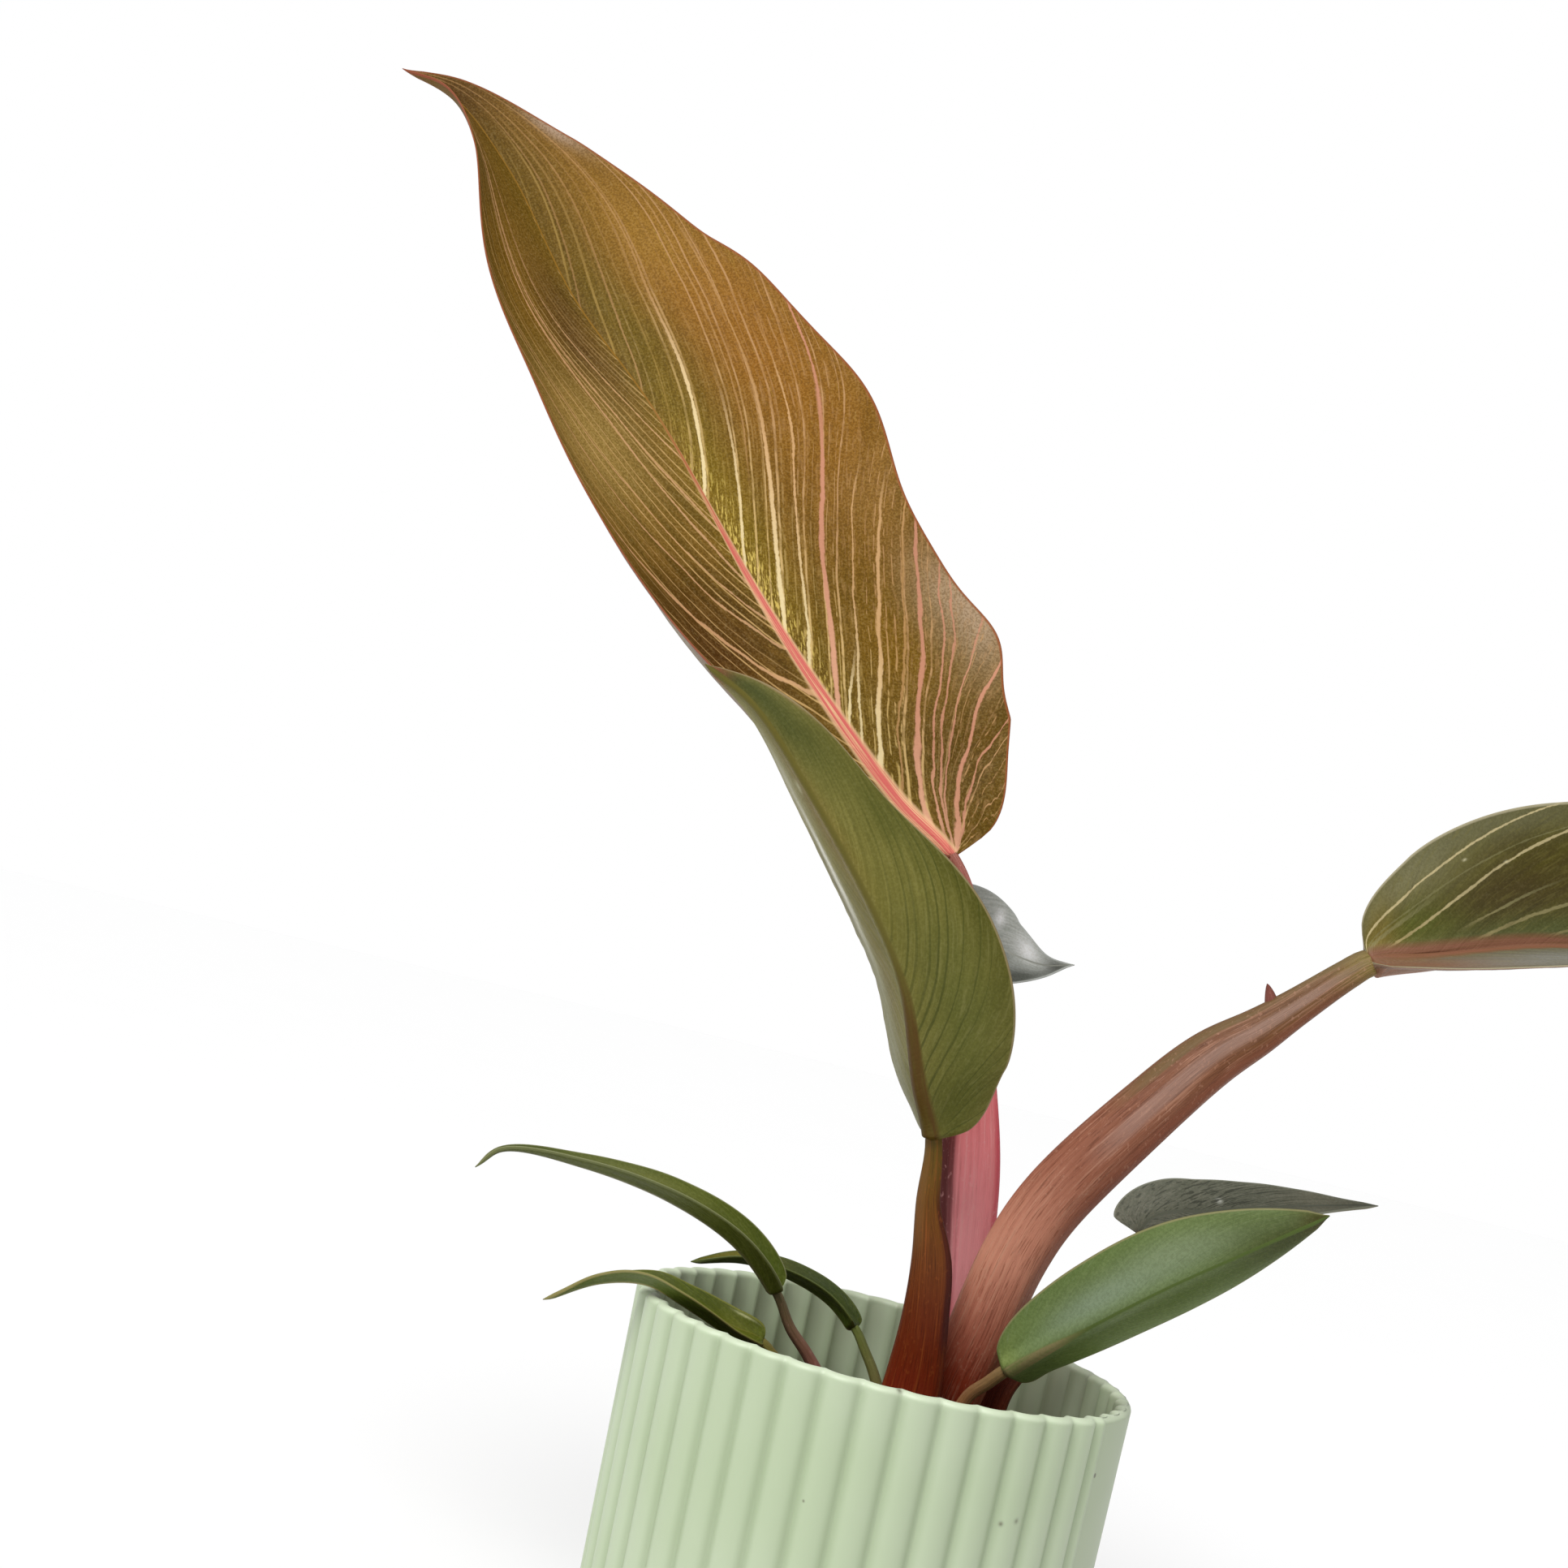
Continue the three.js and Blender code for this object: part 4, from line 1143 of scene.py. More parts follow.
                (0.98, 0.0, 0.02, 2.0, (96, 88, 88), 0.9),
            ],
            brushed=[brushed(60, 0.2, (80, 82, 72), low=0.54)],
            speckle=dict(colour=(66, 68, 58), patch=(0.4, 0.0, 0.5, 2.0), strength=0.6, even=0.3,
                         count=60),
        ),
        under=face(
            (100, 106, 82), (82, 88, 66),
            midrib((120, 84, 64), (110, 92, 70), (100, 90, 70), 1.0, 0.3, 0.9),
            margin=((140, 130, 110), 0.3),
            lines=[lines(24, 0.4, 0.4, (72, 80, 58))],
        ),
    ),
    "near_right": blade_look(
        roughness=0.4,
        upper=face(
            (94, 104, 58), (80, 90, 48),
            midrib((146, 122, 84), (124, 120, 80), (110, 112, 70), 0.9, 0.3, 0.9),
            margin=((160, 140, 110), 0.3),
            lines=[lines(26, 0.4, 0.4, (124, 132, 84))],
        ),
        under=face(
            (114, 130, 82), (102, 118, 72),
            midrib((140, 130, 92), (122, 128, 82), (90, 106, 56), 0.7, 0.15, 0.3),
            margin=((140, 136, 96), 0.22),
            lines=[lines(30, 0.4, 0.25, (92, 110, 66), keep=0.3)],
            patches=[
                # Painted sheen: the pale grey-green patches at 0.36 and 0.6 along on the upper half.
                # Painted shade: the darker green patch at 0.5 along over the lower half.
                (0.36, 0.3, 0.3, 0.26, (136, 152, 124), 0.9),
                (0.6, 0.45, 0.16, 0.3, (132, 146, 112), 0.8), (0.1, 0.5, 0.1, 0.5, (124, 144, 84), 0.6),
                (0.02, 0.2, 0.05, 0.8, (140, 156, 88), 0.7), (0.35, 0.95, 0.3, 0.16, (100, 118, 68), 0.7),
                (0.5, -0.4, 0.4, 0.4, (82, 98, 46), 0.9), (0.25, -0.85, 0.2, 0.3, (98, 116, 56), 0.6),
                (0.86, -0.3, 0.16, 0.9, (72, 78, 36), 0.85), (0.97, 0.0, 0.05, 1.5, (84, 78, 42), 0.8),
            ],
            brushed=[brushed(110, 0.25, (146, 160, 124), (140, 154, 116))],
        ),
    ),
    "long_left": blade_look(
        roughness=0.36,
        upper=face(
            (100, 108, 54), (82, 92, 42),
            midrib((72, 80, 42), (84, 92, 54), (84, 92, 54), 0.5, 0.25, 0.9),
            margin=((146, 148, 108), 0.25),
            lines=[lines(26, 0.35, 0.25, (122, 130, 92))],
            patches=[
                (0.5, 0.5, 0.22, 0.4, (118, 122, 66), 0.75), (0.12, -0.3, 0.14, 0.7, (100, 112, 50), 0.8),
                (0.05, 0.2, 0.07, 1.0, (96, 112, 48), 0.6),
                (0.2, -0.55, 0.012, 0.16, (186, 188, 160), 0.8),
                (0.98, 0.0, 0.03, 2.0, (104, 84, 60), 0.7),
            ],
        ),
        under=face(
            (104, 110, 58), (88, 94, 48),
            midrib((120, 116, 76), (100, 102, 64), (100, 102, 64), 0.7, 0.3, 0.9),
            margin=((120, 124, 84), 0.25),
            lines=[lines(24, 0.35, 0.3, (64, 70, 40))],
        ),
    ),
    "rim_left": blade_look(
        roughness=0.34,
        upper=face(
            (96, 106, 42), (80, 88, 32),
            midrib((148, 124, 76), (120, 116, 58), (104, 110, 50), 0.6, 0.25, 0.4),
            margin=((128, 130, 68), 0.25),
            lines=[lines(26, 0.35, 0.25, (122, 130, 72))],
            patches=[
                (0.8, 0.0, 0.2, 2.0, (124, 122, 56), 0.7), (0.12, 0.0, 0.1, 1.0, (110, 112, 52), 0.6),
                (0.72, 0.7, 0.05, 0.08, (214, 212, 164), 0.9),
                (0.1, 0.85, 0.05, 0.06, (196, 196, 144), 0.8), (1.0, 0.0, 0.04, 2.0, (112, 90, 60), 0.7),
            ],
        ),
        under=face(
            (100, 112, 54), (92, 104, 48),
            midrib((150, 136, 84), (122, 124, 68), (110, 116, 60), 0.7, 0.3, 0.9),
            margin=((156, 146, 96), 0.25),
            lines=[lines(24, 0.35, 0.3, (82, 94, 44))],
        ),
    ),
    "rim_back": blade_look(
        roughness=0.36,
        upper=face(
            (80, 92, 42), (66, 78, 34),
            midrib((136, 130, 84), (106, 112, 62), (96, 104, 56), 0.5, 0.25, 0.7),
            margin=((98, 108, 62), 0.25),
            lines=[lines(26, 0.35, 0.25, (112, 124, 76))],
            patches=[(0.8, 0.0, 0.25, 2.0, (130, 122, 52), 0.85)],
        ),
        under=face(
            (92, 106, 54), (76, 90, 42),
            midrib((138, 126, 80), (110, 114, 62), (100, 106, 56), 0.6, 0.3, 0.9),
            margin=((98, 106, 62), 0.25),
            lines=[lines(24, 0.35, 0.3, (68, 80, 38))],
        ),
    ),
}


class BladeSpot:
    """Where a point of a blade lies, read from the blade's own attributes."""

    def __init__(self, bench, leaf):
        self.bench = bench
        spot = bench.attribute("leaf")
        reach = bench.attribute("reach")
        self.along, self.across, self.under = bench.split(spot)
        self.from_rib, self.from_edge, self.spacing = bench.split(reach)
        self.share = abs(self.across)
        self.side = self.across.math("SIGN")
        self.place = object_place(bench)
        self.bent = self.share.most(1e-4) ** VEIN["bend"]
        sweep, spread = VEIN["sweep"], VEIN["spread"]
        if "left_veins" in leaf:
            left = self.side * -0.5 + 0.5
            sweep = left * (leaf["left_veins"][0] - sweep) + sweep
            spread = left * (leaf["left_veins"][1] - spread) + spread
        ahead = (self.along - self.bent * sweep) / (self.bent * spread + 1)
        behind = (self.along / (self.bent * sweep) - 1) * VEIN["lobe"]
        self.vein = ahead.most(0.0) + behind.least(0.0)
        self.climb = 1 / line_at(stretches(leaf)[1], np.array([0.0, 1.0]))[2]
        rate = self.share.most(1e-4) ** (VEIN["bend"] - 1) * VEIN["bend"]
        self.steep = rate / (self.from_rib + self.from_edge)
        self.wobble = bench.noise(bench.join(self.share * 6, self.vein * 12, self.side * 3), 1, 2) - 0.5
        self.grit = bench.noise(self.place, 1100, 2) - 0.5
        uneven = bench.noise(bench.join(self.from_rib * 0.3, self.vein * 26, self.side * 9), 1, 2)
        self.swell = (uneven * 0.6 + 0.25) * (1.25 - self.share * 0.55)

    def hill(self, along_at, across_at, along_span, across_span):
        return self.bench.hill([(self.along, along_at, along_span), (self.across, across_at, across_span)])

    def half(self, side):
        """1 on one half of the blade, -1 being the left one."""
        return self.bench.soft(self.across * side, -0.004, 0.004)


def shown_part(bench, spot, look, mask):
    """Keeps streaks to their own half of the blade, and ends them where they fade out."""
    if look["side"]:
        mask = mask * spot.half(look["side"])
    mask = bench.within(mask, spot.vein, look["start"], look["stop"], (0.12, 0.12), (0.3, 0.1))
    return mask * look["strength"]


def line_mask(bench, spot, look, seed):
    """Where one family of streaks shows."""
    course = (spot.vein + spot.wobble * 0.012) * look["count"] + seed * 0.37
    cell = course.math("FLOOR")
    pick = bench.node("ShaderNodeTexWhiteNoise", {"noise_dimensions": "2D"}, {
        "Vector": bench.join(cell, spot.side + seed * 7, 0)}, out="Color")
    shift, chance, size = bench.split(pick)
    gap = spot.spacing / look["count"]
    away = abs(course.math("FRACT") - 0.5 - (shift - 0.5) * 0.5) * gap + spot.grit * 0.16
    width = (size * 0.8 + 0.6) * look["width"] * (1.2 - spot.share * 0.6)
    line = 1 - bench.soft(away, width * 0.25, width * 0.75)
    line = line * bench.soft(chance, look["keep"] - 0.15, look["keep"] + 0.35) * bench.soft(gap, 0.8, 2.0)
    if look["broken"]:
        dashes = bench.noise(bench.join(spot.from_rib * 0.5, cell * 5.3, spot.side * 2), 1, 3)
        line = line * (1 - (1 - bench.soft(dashes, 0.44, 0.54)) * look["broken"])
    return shown_part(bench, spot, look, line)


def brushed_mask(bench, spot, look, seed):
    """Where the fine broken streaks show."""
    course = bench.join(
        (spot.vein + spot.wobble * 0.008) * look["count"], spot.from_rib * 0.35, spot.side * 4 + seed)
    shown = bench.soft(bench.noise(course, 1, 2, 0.6), look["low"], 0.68)
    return shown_part(bench, spot, look, shown * bench.soft(spot.spacing / look["count"], 0.25, 0.5))


def streak_mask(bench, spot, foot, lean, width, start, stop, strength):
    """Where one bold streak shows."""
    off = spot.along - spot.bent * lean - foot + spot.wobble * 0.022
    scale = ((spot.steep * lean) ** 2.0 + spot.climb**2) ** -0.5
    half = spot.swell * width
    line = 1 - bench.soft(abs(off) * scale + spot.grit * 0.5, half * 0.5, half * 1.2)
    return bench.within(line, spot.share, start, stop, (0.08, 0.05), (0.15, 0.1)) * strength


def rib_colour(bench, spot, rib, colour, tone, seed):
    """Lays the midrib, with its fine lengthwise grain, over a face's colour."""
    shrink = bench.soft(spot.along, 0.02, rib["stop"])
    width = rib["base"] + shrink * (rib["tip"] - rib["base"])
    reach = spot.from_rib / width
    grain = bench.noise(bench.join(spot.from_rib * spot.side * 3.2, spot.along * 9, seed), 1, 3)
    far = bench.soft(spot.along, rib["stop"] * 0.5, rib["stop"])
    core = bench.mix(bench.soft(grain, 0.45, 0.7), tone(rib["colour"]), tone(rib["edge"]))
    core = bench.mix(far, core, tone(rib["far"]))
    border = bench.mix(far, tone(rib["edge"]), tone(rib["far"]))
    colour = bench.mix((1 - bench.soft(reach, 0.9, 1.4)) * 0.75, colour, border)
    return bench.mix(1 - bench.soft(reach, 0.6, 1.0), colour, core)


def face_colour(bench, spot, look, seed, tone):
    """Colour of one face of a blade. tone gives the linear colour of a look's tone."""
    def tint(family, low, high):
        """A family's inner colour, turning to its outer one on the way to the margin."""
        return bench.mix(bench.soft(spot.share, low, high), tone(family["inner"]), tone(family["outer"]))

    cloud = bench.noise(spot.place, 55, 3)
    drift = bench.noise(bench.join(spot.vein * 60, spot.share * 3, spot.side), 1, 3)
    mottle = bench.soft(drift * 0.6 + cloud * 0.4, 0.38, 0.62)
    colour = bench.mix(mottle, tone(look["ground"]), tone(look["second"]))
    for *place, patch, strength in look["patches"]:
        colour = bench.mix(spot.hill(*place) * (cloud * 0.6 + 0.7) * strength, colour, tone(patch))
    fine = bench.noise(spot.place, 1900, 2, 0.6)
    grain = look["grain"]
    colour = bench.multiply(bench.soft(fine, 0.46, 0.6) * grain, colour, (0.62, 0.6, 0.5, 1))
    colour = bench.mix(bench.soft(fine, 0.48, 0.32) * (grain * 0.08), colour, (0.7, 0.64, 0.4, 1))
    for family in look["brushed"]:
        shift = tint(family, 0.05, 0.6)
        colour = bench.mix(brushed_mask(bench, spot, family, seed), colour, shift)
    speckle = look["speckle"]
    if speckle:
        hill = spot.hill(*speckle["patch"])
        course = bench.join(spot.vein * speckle["count"], spot.from_rib * 0.9, spot.side * 5)
        grains = bench.noise(course, 1, 2, 0.6)
        low = 0.62 - hill * 0.14
        grain = bench.soft(grains, low, low + 0.1) * (hill * speckle["strength"] + speckle["even"])
        colour = bench.mix(grain, colour, tone(speckle["colour"]))
    for order, family in enumerate(look["lines"]):
        shift = tint(family, 0.08, 0.6)
        colour = bench.mix(line_mask(bench, spot, family, seed + order), colour, shift)
    for group in look["streaks"]:
        mask = streak_mask(bench, spot, *group["marks"][0])
        for mark in group["marks"][1:]:
            mask = mask.most(streak_mask(bench, spot, *mark))
        mask = mask * spot.half(group["side"])
        shift = tint(group, 0.08, 0.5)
        colour = bench.mix(mask, colour, shift)
    colour = rib_colour(bench, spot, look["rib"], colour, tone, seed)
    margin, width = look["margin"]
    rim = 1 - bench.soft(spot.from_edge, width * 0.5, width * 1.3)
    return bench.mix(rim * 0.85, colour, tone(margin))


def blade_material(name, look, leaves):
    """A leaf's satin finish, with its veins and its faces' colours, some of them painted sheen, highlights
    and shade.
    """
    def tone(value):
        return tuple(getattr(leaves, value)) if isinstance(value, str) else flesh(*value)

    material, bench = new_material(f"Blade {name}")
    spot = BladeSpot(bench, LEAVES[name])
    upper = face_colour(bench, spot, look["upper"], 1, tone)
    under = face_colour(bench, spot, look["under"], 11, tone)
    colour = bench.mix(bench.soft(spot.under, 0.4, 0.6), upper, under)
    cells = bench.noise(spot.place, 1700, 2)
    veins = bench.noise(bench.join(spot.vein * 130, spot.share * 2.0, spot.side), 1, 2)
    roughness = bench.noise(spot.place, 240, 2) * 0.16 + look["roughness"]
    finish_material(
        bench, colour, roughness, cells * 0.35 + veins * 0.65, 0.00016,
        {"IOR": 1.45, "Specular IOR Level": look["gloss"]})
    return material


class PHILODENDRON_OT_blades(bpy.types.Operator):
    """Make the nine leaf blades"""
    bl_idname = "philodendron.blades"
    bl_label = "Leaf blades"

    def execute(self, context):
        leaves = context.scene.philodendron_leaves
        for name, leaf in LEAVES.items():
            mesh = blade_mesh(f"leaf_blade_{name}", leaf, leaves.thickness / MM)
            material = blade_material(name, BLADE_LOOKS[name], leaves)
            place_piece(f"leaf_blade_{name}", mesh, f"blade_{name}", material)
        return {"FINISHED"}


# Stalks

# A stalk's end runs on inside its blade: shares of the blade's length, and of its own width
TAIL_PLACES = np.array([0.6, 1.4, 2.2, 3.0]) / 60
TAIL_WIDTHS = np.array([0.84, 0.64, 0.46, 0.2])


def stalk_marks(shape, angle, share, length, dry=0):
    """What a stalk's finish reads: across, over and along it, then millimetres along and dryness."""
    one = np.ones(shape)
    return {
        "stalk": np.stack([one * np.cos(angle), one * np.sin(angle), one * share], axis=-1),
        "length": np.stack([one * share * length, one * dry, one * 0], axis=-1),
    }


def stalk_mesh(name, leaf):
    """A fleshy stalk whose end runs a little way into the blade."""
    points, blade = stretches(leaf)
    length = np.linalg.norm(np.diff(points, axis=0), axis=1).sum()
    rows = int(length / 1.4) + 1
    t = np.linspace(0, 1, rows)
    place, heading, _ = line_at(points, t)
    half = through(leaf["stalk"], t)
    sheath = np.maximum(through(leaf["sheath"], t), 0) if "sheath" in leaf else t * 0
    tail_place, tail_heading, tail_length = line_at(blade, TAIL_PLACES)
    tail_half = half[-1] * TAIL_WIDTHS
    place = np.vstack([place, tail_place])
    heading = np.vstack([heading, tail_heading])
    half = np.concatenate([half, tail_half])
    sheath = np.concatenate([sheath, tail_half * 0])
    share = np.concatenate([t, 1 + TAIL_PLACES * tail_length / length])
    towards = np.array(leaf["face"][0], float)
    up = unit(towards - (towards * heading).sum(1)[:, None] * heading)
    right = np.cross(heading, up)
    angle = turns(44)
    wing = np.where(np.cos(angle) < 0, 1, 0)[None] * sheath[:, None]
    flute = 1 + 0.012 * np.sin(7 * angle[None] + 6 * share[:, None])
    flute = flute + 0.009 * np.sin(12 * angle[None] - 9 * share[:, None])
    across = (half[:, None] * flute + wing) * np.cos(angle)
    thick = half[:, None] * leaf["depth"] * flute * np.sin(angle)
    rings = place[:, None] + right[:, None] * across[..., None] - up[:, None] * thick[..., None]
    bodies = [(rings, stalk_marks(across.shape, angle, share[:, None], length))]
    if "thorn" in leaf:
        row = int(leaf["thorn"] * (rows - 1))
        foot = place[row] - right[row] * half[row]
        bodies.append(thorn(foot, heading[row], -right[row], t[row], length))
    return closed_skin(name, *bodies)


def thorn(foot, heading, outwards, share, length):
    """The dry tip that a sheath leaves on the edge of a stalk."""
    angle = turns(16)
    level = np.linspace(0, 1, 10)[:, None, None]
    across = np.cross(heading, outwards)
    size = 1.5 * (1 - level**1.4) ** 0.8 + 0.08
    rise = outwards * (level * 4.0 - 1.0) + heading * (2.0 * level)
    spread = heading * np.cos(angle)[:, None] + across * np.sin(angle)[:, None] * 0.7
    rings = foot + rise + spread[None] * size
    return rings[:, ::-1], stalk_marks(rings.shape[:2], angle, share, length, dry=1)


# Finishes of the stalks: colours from foot to top, then bands. A band is place across from
# -1 at the left edge to 1 at the right one, its span, from and to along, colour, strength.

def slim(foot, middle, top, streak, turn=0.5):
    """A plain slim stalk: its colours at the foot, at the turn and at the top."""
    return dict(stops=[(0.0, foot), (turn, middle), (1.0, top)], streak=streak, bands=[])


STALK_LOOKS = {
    "tall": dict(
        # Painted light: the near-white pinks low on the stalk are paler than its own pink, to make up for
        # the shade of the blade above.
        stops=[(0.0, (170, 60, 62)), (0.22, (232, 110, 118)), (0.32, (254, 166, 172)),
               (0.45, (254, 156, 160)), (0.6, (240, 132, 134)), (0.8, (206, 116, 110)),
               (1.0, (160, 100, 84))],
        streak=(252, 186, 182), dashes=0.2,
        # Painted highlight: the pale band down the middle. Painted shade: the dark magenta band on the
        # right edge, and the dark brown band on the left edge where it lies in shadow.
        bands=[(0.05, 0.4, 0.1, 0.42, (255, 176, 178), 0.8), (1.0, 0.25, -1, 0.6, (214, 62, 84), 0.7),
               (-1.0, 0.42, 0.28, 0.66, (88, 46, 30), 0.95)],
    ),
    "front": dict(
        stops=[(0.0, (118, 42, 26)), (0.3, (126, 54, 30)), (0.55, (118, 62, 30)),
               (0.8, (116, 78, 44)), (1.0, (104, 88, 46))],
        streak=(160, 92, 54),
        bands=[(-1.0, 0.22, 0.45, 0.85, (78, 40, 26), 0.8), (0.6, 0.5, 0.7, 1.1, (134, 98, 62), 0.4)],
    ),
    "side": dict(
        stops=[(0.0, (122, 44, 34)), (0.18, (150, 70, 54)), (0.34, (206, 142, 118)), (0.5, (154, 100, 80)),
               (0.64, (136, 90, 70)), (0.8, (122, 84, 60)), (0.93, (122, 90, 62)), (1.0, (138, 122, 72))],
        streak=(196, 148, 124), thorn=(132, 80, 70),
        bands=[(-0.75, 0.22, 0.62, 0.86, (122, 104, 72), 0.7), (-1.0, 0.5, 0.88, 1.1, (126, 108, 76), 0.7),
               # Painted sheen: the greyish band at 0.1 across. Painted shade: the reddish brown band along
               # the lower edge.
               (0.1, 0.25, 0.55, 0.97, (178, 150, 138), 0.4), (1.0, 0.3, -1, 0.95, (140, 84, 66), 0.5)],
    ),
    "back": slim((116, 44, 34), (140, 84, 66), (128, 112, 92), (168, 112, 94), 0.6),
    "low_right": slim((100, 46, 34), (112, 62, 46), (104, 96, 78), (140, 86, 66), 0.6),
    "near_right": slim((112, 40, 30), (140, 84, 60), (152, 126, 86), (180, 134, 104)),
    "long_left": slim((124, 56, 48), (150, 98, 90), (112, 108, 74), (182, 136, 126)),
    "rim_left": slim((116, 58, 44), (128, 100, 66), (128, 122, 66), (160, 132, 92)),
    "rim_back": slim((116, 58, 44), (122, 112, 72), (110, 122, 62), (150, 144, 92)),
}


def stalk_material(name, look):
    """A fibrous stalk with short dark dashes, bands of its own colours, and bands of painted highlight and
    shade.
    """
    material, bench = new_material(f"Stalk {name}")
    streak = flesh(*look["streak"])
    across, over, share = bench.split(bench.attribute("stalk"))
    run, dry, _ = bench.split(bench.attribute("length"))
    stops = [(place, flesh(*tone)) for place, tone in look["stops"]]
    colour = bench.node("ShaderNodeValToRGB", {"stops": stops}, (share,), "Color")
    fibre = bench.noise(bench.join(across * 7, over * 7, run * 0.035), 1, 4, 0.6)
    colour = bench.mix(bench.soft(fibre, 0.5, 0.72) * 0.55, colour, streak)
    colour = bench.multiply(bench.soft(fibre, 0.5, 0.3) * 0.5, colour, (0.68, 0.6, 0.58, 1))
    dash = bench.noise(bench.join(across * 20, over * 20, run * 0.16), 1, 3, 0.65)
    dark = bench.soft(dash, 0.54, 0.64) * look.get("dashes", 0.8)
    colour = bench.multiply(dark, colour, (0.56, 0.48, 0.42, 1))
    colour = bench.mix(bench.soft(dash, 0.42, 0.3) * 0.4, colour, streak)
    for place, span, start, stop, tone, strength in look["bands"]:
        inside = bench.soft(share, start - 0.05, start + 0.05)
        inside = inside * (1 - bench.soft(share, stop - 0.08, stop + 0.08))
        away = abs(across + (fibre - 0.5) * 0.25 - place)
        mask = (1 - bench.soft(away, span * 0.5, span * 1.4)) * inside * strength
        colour = bench.mix(mask, colour, flesh(*tone))
    if "thorn" in look:
        colour = bench.mix(dry, colour, flesh(*look["thorn"]))
    place = object_place(bench)
    specks = bench.noise(bench.stretch(place, (1.0, 1.0, 0.6)), 1500, 2)
    colour = bench.mix(bench.soft(specks, 0.6, 0.72) * 0.3, colour, streak)
    roughness = bench.noise(place, 300, 2) * 0.14 + 0.4
    finish_material(
        bench, colour, roughness, fibre * 0.6 + dash * 0.3 + specks * 0.15, 0.0003,
        {"IOR": 1.42, "Specular IOR Level": 0.28})
    return material


class PHILODENDRON_OT_stalks(bpy.types.Operator):
    """Make the nine leaf stalks"""
    bl_idname = "philodendron.stalks"
    bl_label = "Leaf stalks"

    def execute(self, context):
        for name, leaf in LEAVES.items():
            mesh = stalk_mesh(f"leaf_stalk_{name}", leaf)
            material = stalk_material(name, STALK_LOOKS[name])
            place_piece(f"leaf_stalk_{name}", mesh, f"stalk_{name}", material)
        return {"FINISHED"}


# The stem

def stem_rings():
    """Rings of the stem, ridged by the scars of old leaves and domed at the top."""
    angle = turns(72)
    scar_step = 4.2
    rings = []
    for z in np.linspace(STEM["heights"][0], STEM["heights"][-1], 40):
        reach = np.interp(z, STEM["heights"], STEM["radii"])
        scars = 0.35 * np.cos(math.tau * z / scar_step)
        ring = np.stack([np.cos(angle), np.sin(angle), angle * 0], axis=1)
        rough = [noise.noise(Vector((*(point[:2] * 4), z * 0.3))) for point in ring]
        ring *= (reach + scars + 0.7 * np.array(rough) - 0.7)[:, None]
        rings.append(ring + np.array([*STEM["centre"], z]))
    return np.array(rings)


def stem_material():
    material, bench = new_material("Woody stem")
    place = object_place(bench)
    bark = bench.noise(bench.stretch(place, (1.0, 1.0, 2.5)), 260, 4, 0.6)
    colour = bench.mix(bench.soft(bark, 0.35, 0.65), paint(104, 68, 42), paint(138, 104, 64))
    colour = bench.mix(bench.soft(bark, 0.66, 0.76), colour, paint(92, 98, 48))
    finish_material(bench, colour, bark * 0.2 + 0.6, bark, 0.0006)
    return material


class PHILODENDRON_OT_stem(bpy.types.Operator):
    """Make the short stem that the leaves grow from"""
    bl_idname = "philodendron.stem"
    bl_label = "Stem"

    def execute(self, context):
        mesh = closed_skin("woody_stem", (stem_rings(), {}))
        place_piece("woody_stem", mesh, "stem", stem_material())
        return {"FINISHED"}


# Floor, light and camera

def make_camera():
    """The photograph's view: low in front of the pot, turned left, up and rolled."""
    yaw, pitch, roll = (math.radians(value) for value in (-7.6, 8.2, 13.4))
    ahead = Vector((
        math.sin(yaw) * math.cos(pitch), math.cos(yaw) * math.cos(pitch), math.sin(pitch)))
    level = Vector((math.cos(yaw), -math.sin(yaw), 0))
    down = ahead.cross(level)
    right = level * math.cos(roll) - down * math.sin(roll)
    lower = level * math.sin(roll) + down * math.cos(roll)
    data = bpy.data.cameras.new("Camera")
    focal_pixels = 2000
    data.sensor_width = 36
    data.lens = data.sensor_width * focal_pixels / 1932
    data.clip_start = 0.01
    camera = add_object("Camera", data)
    turned = Matrix((right, -lower, -ahead)).transposed().to_4x4()
    camera.matrix_world = Matrix.Translation((0, -0.337, 0.15)) @ turned
    bpy.context.scene.camera = camera


def make_floor():
    """A wide pale disc just under the pot."""
    reach = 9.0
    drop = 0.0002
    rim = [(reach * math.cos(angle), reach * math.sin(angle), -drop) for angle in turns(64)]
    mesh = bpy.data.meshes.new("floor")
    mesh.from_pydata(rim, [], [tuple(range(len(rim)))])
    material, bench = new_material("Pale floor")
    finish_material(bench, (0.92, 0.92, 0.92, 1), bench.noise(object_place(bench), 4) * 0.1 + 0.75)
    mesh.materials.append(material)
    add_object("floor", mesh)


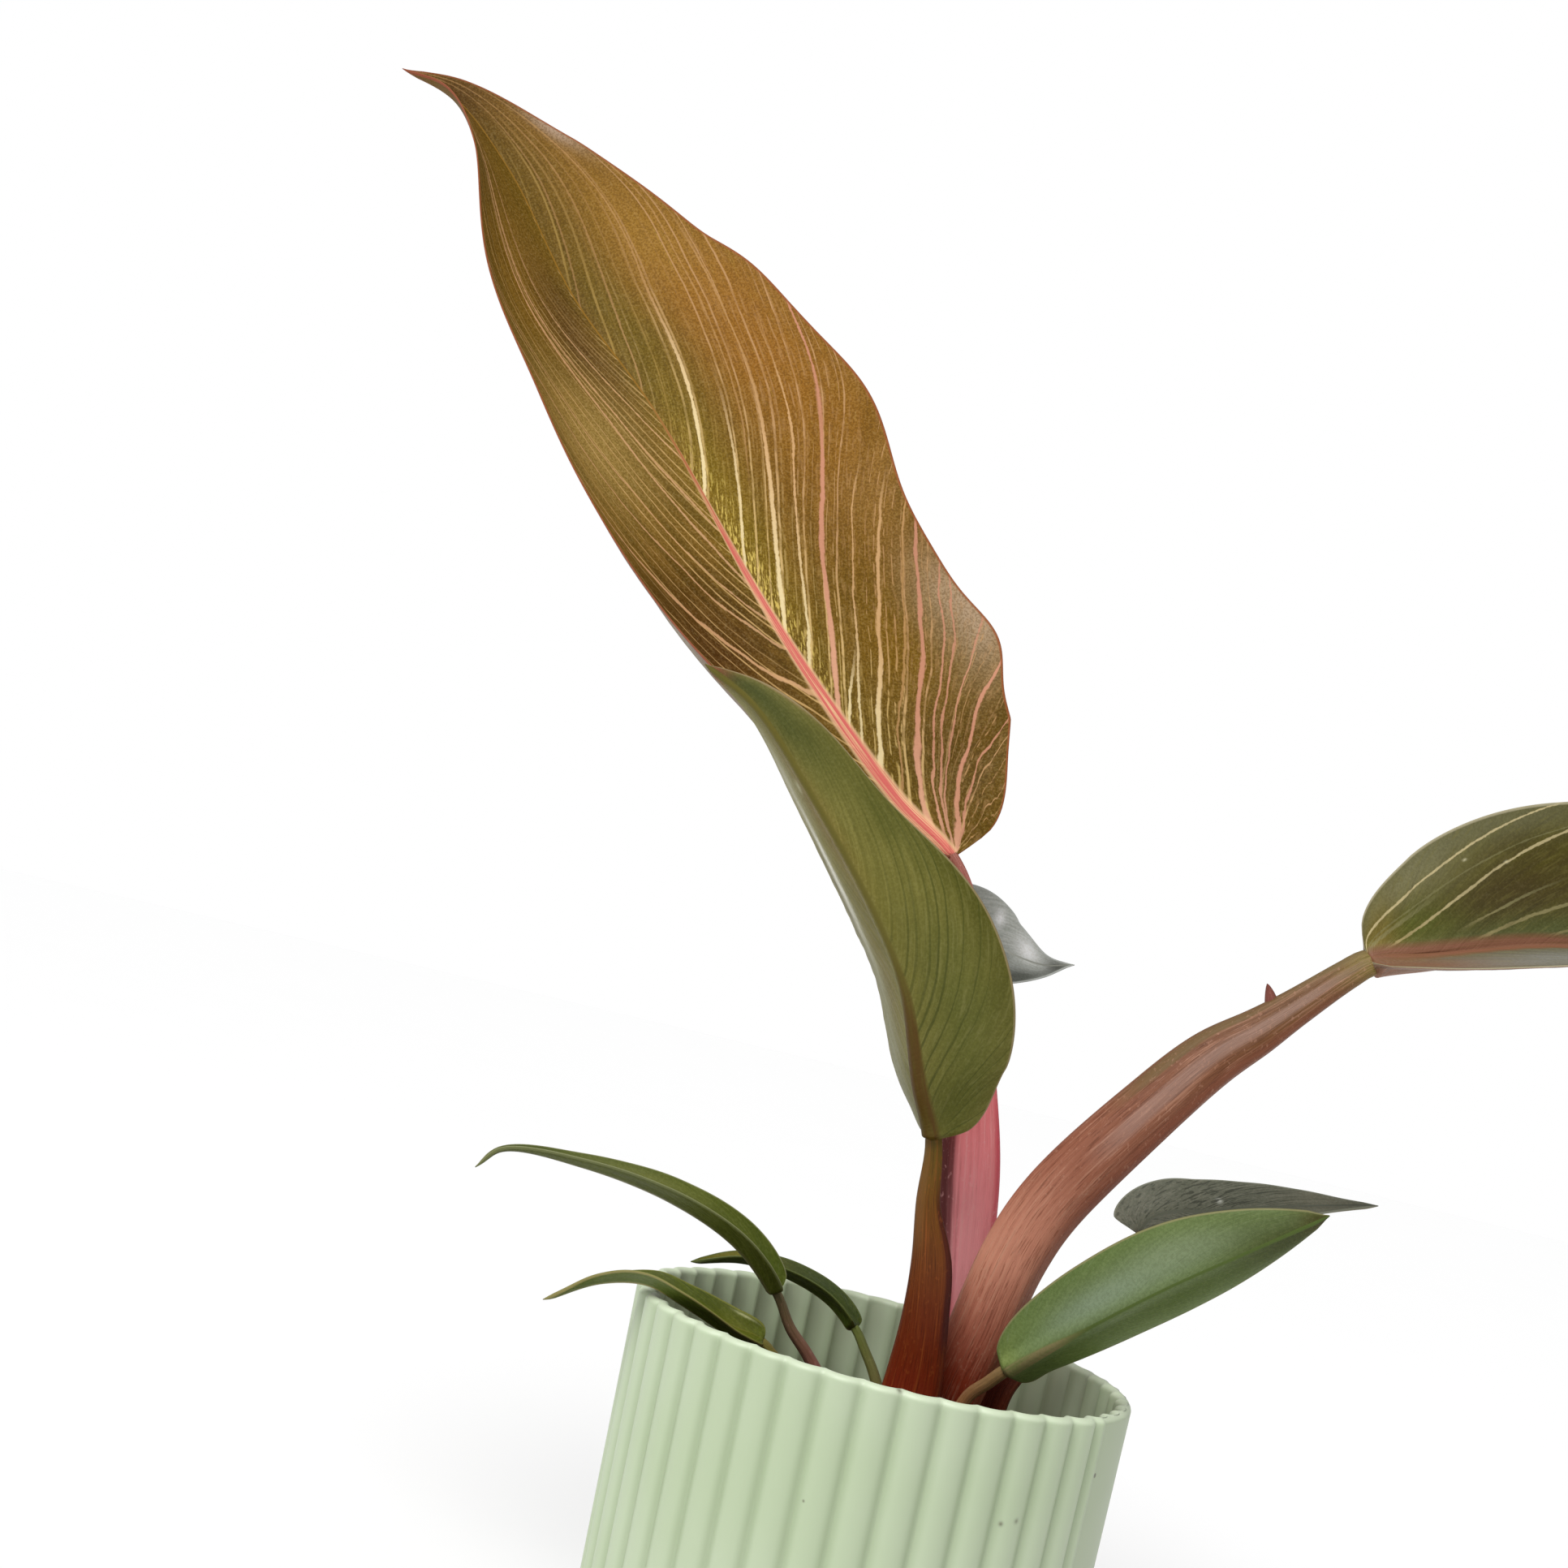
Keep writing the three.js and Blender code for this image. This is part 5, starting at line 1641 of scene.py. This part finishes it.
class PHILODENDRON_OT_stage(bpy.types.Operator):
    """Make the floor, the light and the camera"""
    bl_idname = "philodendron.stage"
    bl_label = "Floor, light and camera"

    def execute(self, context):
        stage = context.scene.philodendron_stage
        make_camera()
        make_floor()
        world = bpy.data.worlds.new("Studio")
        world.use_nodes = True
        world.node_tree.nodes.clear()
        bench = Bench(world.node_tree)
        seen = bench.node("ShaderNodeLightPath", out="Is Camera Ray")
        strength = seen * (1.0 - stage.sky) + stage.sky
        sky = bench.node("ShaderNodeBackground", inputs=((1, 1, 1, 1), strength))
        bench.node("ShaderNodeOutputWorld", inputs=(sky,), out=None)
        context.scene.world = world
        light = bpy.data.lights.new("Key light", "SUN")
        light.energy = stage.key
        light.angle = math.radians(35)
        towards = Vector((-0.35, -0.6, 1.0)).to_track_quat("Z", "Y")
        add_object("Key light", light).matrix_world = towards.to_matrix().to_4x4()
        context.scene.view_settings.view_transform = "Standard"
        return {"FINISHED"}


OPERATORS = (
    PHILODENDRON_OT_stage, PHILODENDRON_OT_pot, PHILODENDRON_OT_potting_mix, PHILODENDRON_OT_stem,
    PHILODENDRON_OT_stalks, PHILODENDRON_OT_blades,
)
GROUPS = {
    "philodendron_pot": PhilodendronPot,
    "philodendron_mix": PhilodendronMix,
    "philodendron_leaves": PhilodendronLeaves,
    "philodendron_stage": PhilodendronStage,
}


class PHILODENDRON_PT_panel(bpy.types.Panel):
    """Lists the steps that make the potted plant"""
    bl_label = "Potted philodendron"
    bl_space_type = "VIEW_3D"
    bl_region_type = "UI"
    bl_category = "Philodendron"

    def draw(self, context):
        for group in GROUPS:
            box = self.layout.box()
            settings = getattr(context.scene, group)
            for name in settings.bl_rna.properties.keys():
                if name not in ("rna_type", "name"):
                    box.prop(settings, name)
        for operator in OPERATORS:
            self.layout.operator(operator.bl_idname)


def register():
    for made in (*GROUPS.values(), *OPERATORS, PHILODENDRON_PT_panel):
        bpy.utils.register_class(made)
    for name, group in GROUPS.items():
        setattr(bpy.types.Scene, name, bpy.props.PointerProperty(type=group))


def unregister():
    for name in GROUPS:
        delattr(bpy.types.Scene, name)
    for made in reversed((*GROUPS.values(), *OPERATORS, PHILODENDRON_PT_panel)):
        bpy.utils.unregister_class(made)


def main():
    register()
    bpy.ops.philodendron.stage()
    bpy.ops.philodendron.pot()
    bpy.ops.philodendron.potting_mix()
    bpy.ops.philodendron.stem()
    bpy.ops.philodendron.stalks()
    bpy.ops.philodendron.blades()


if __name__ == "__main__":
    main()
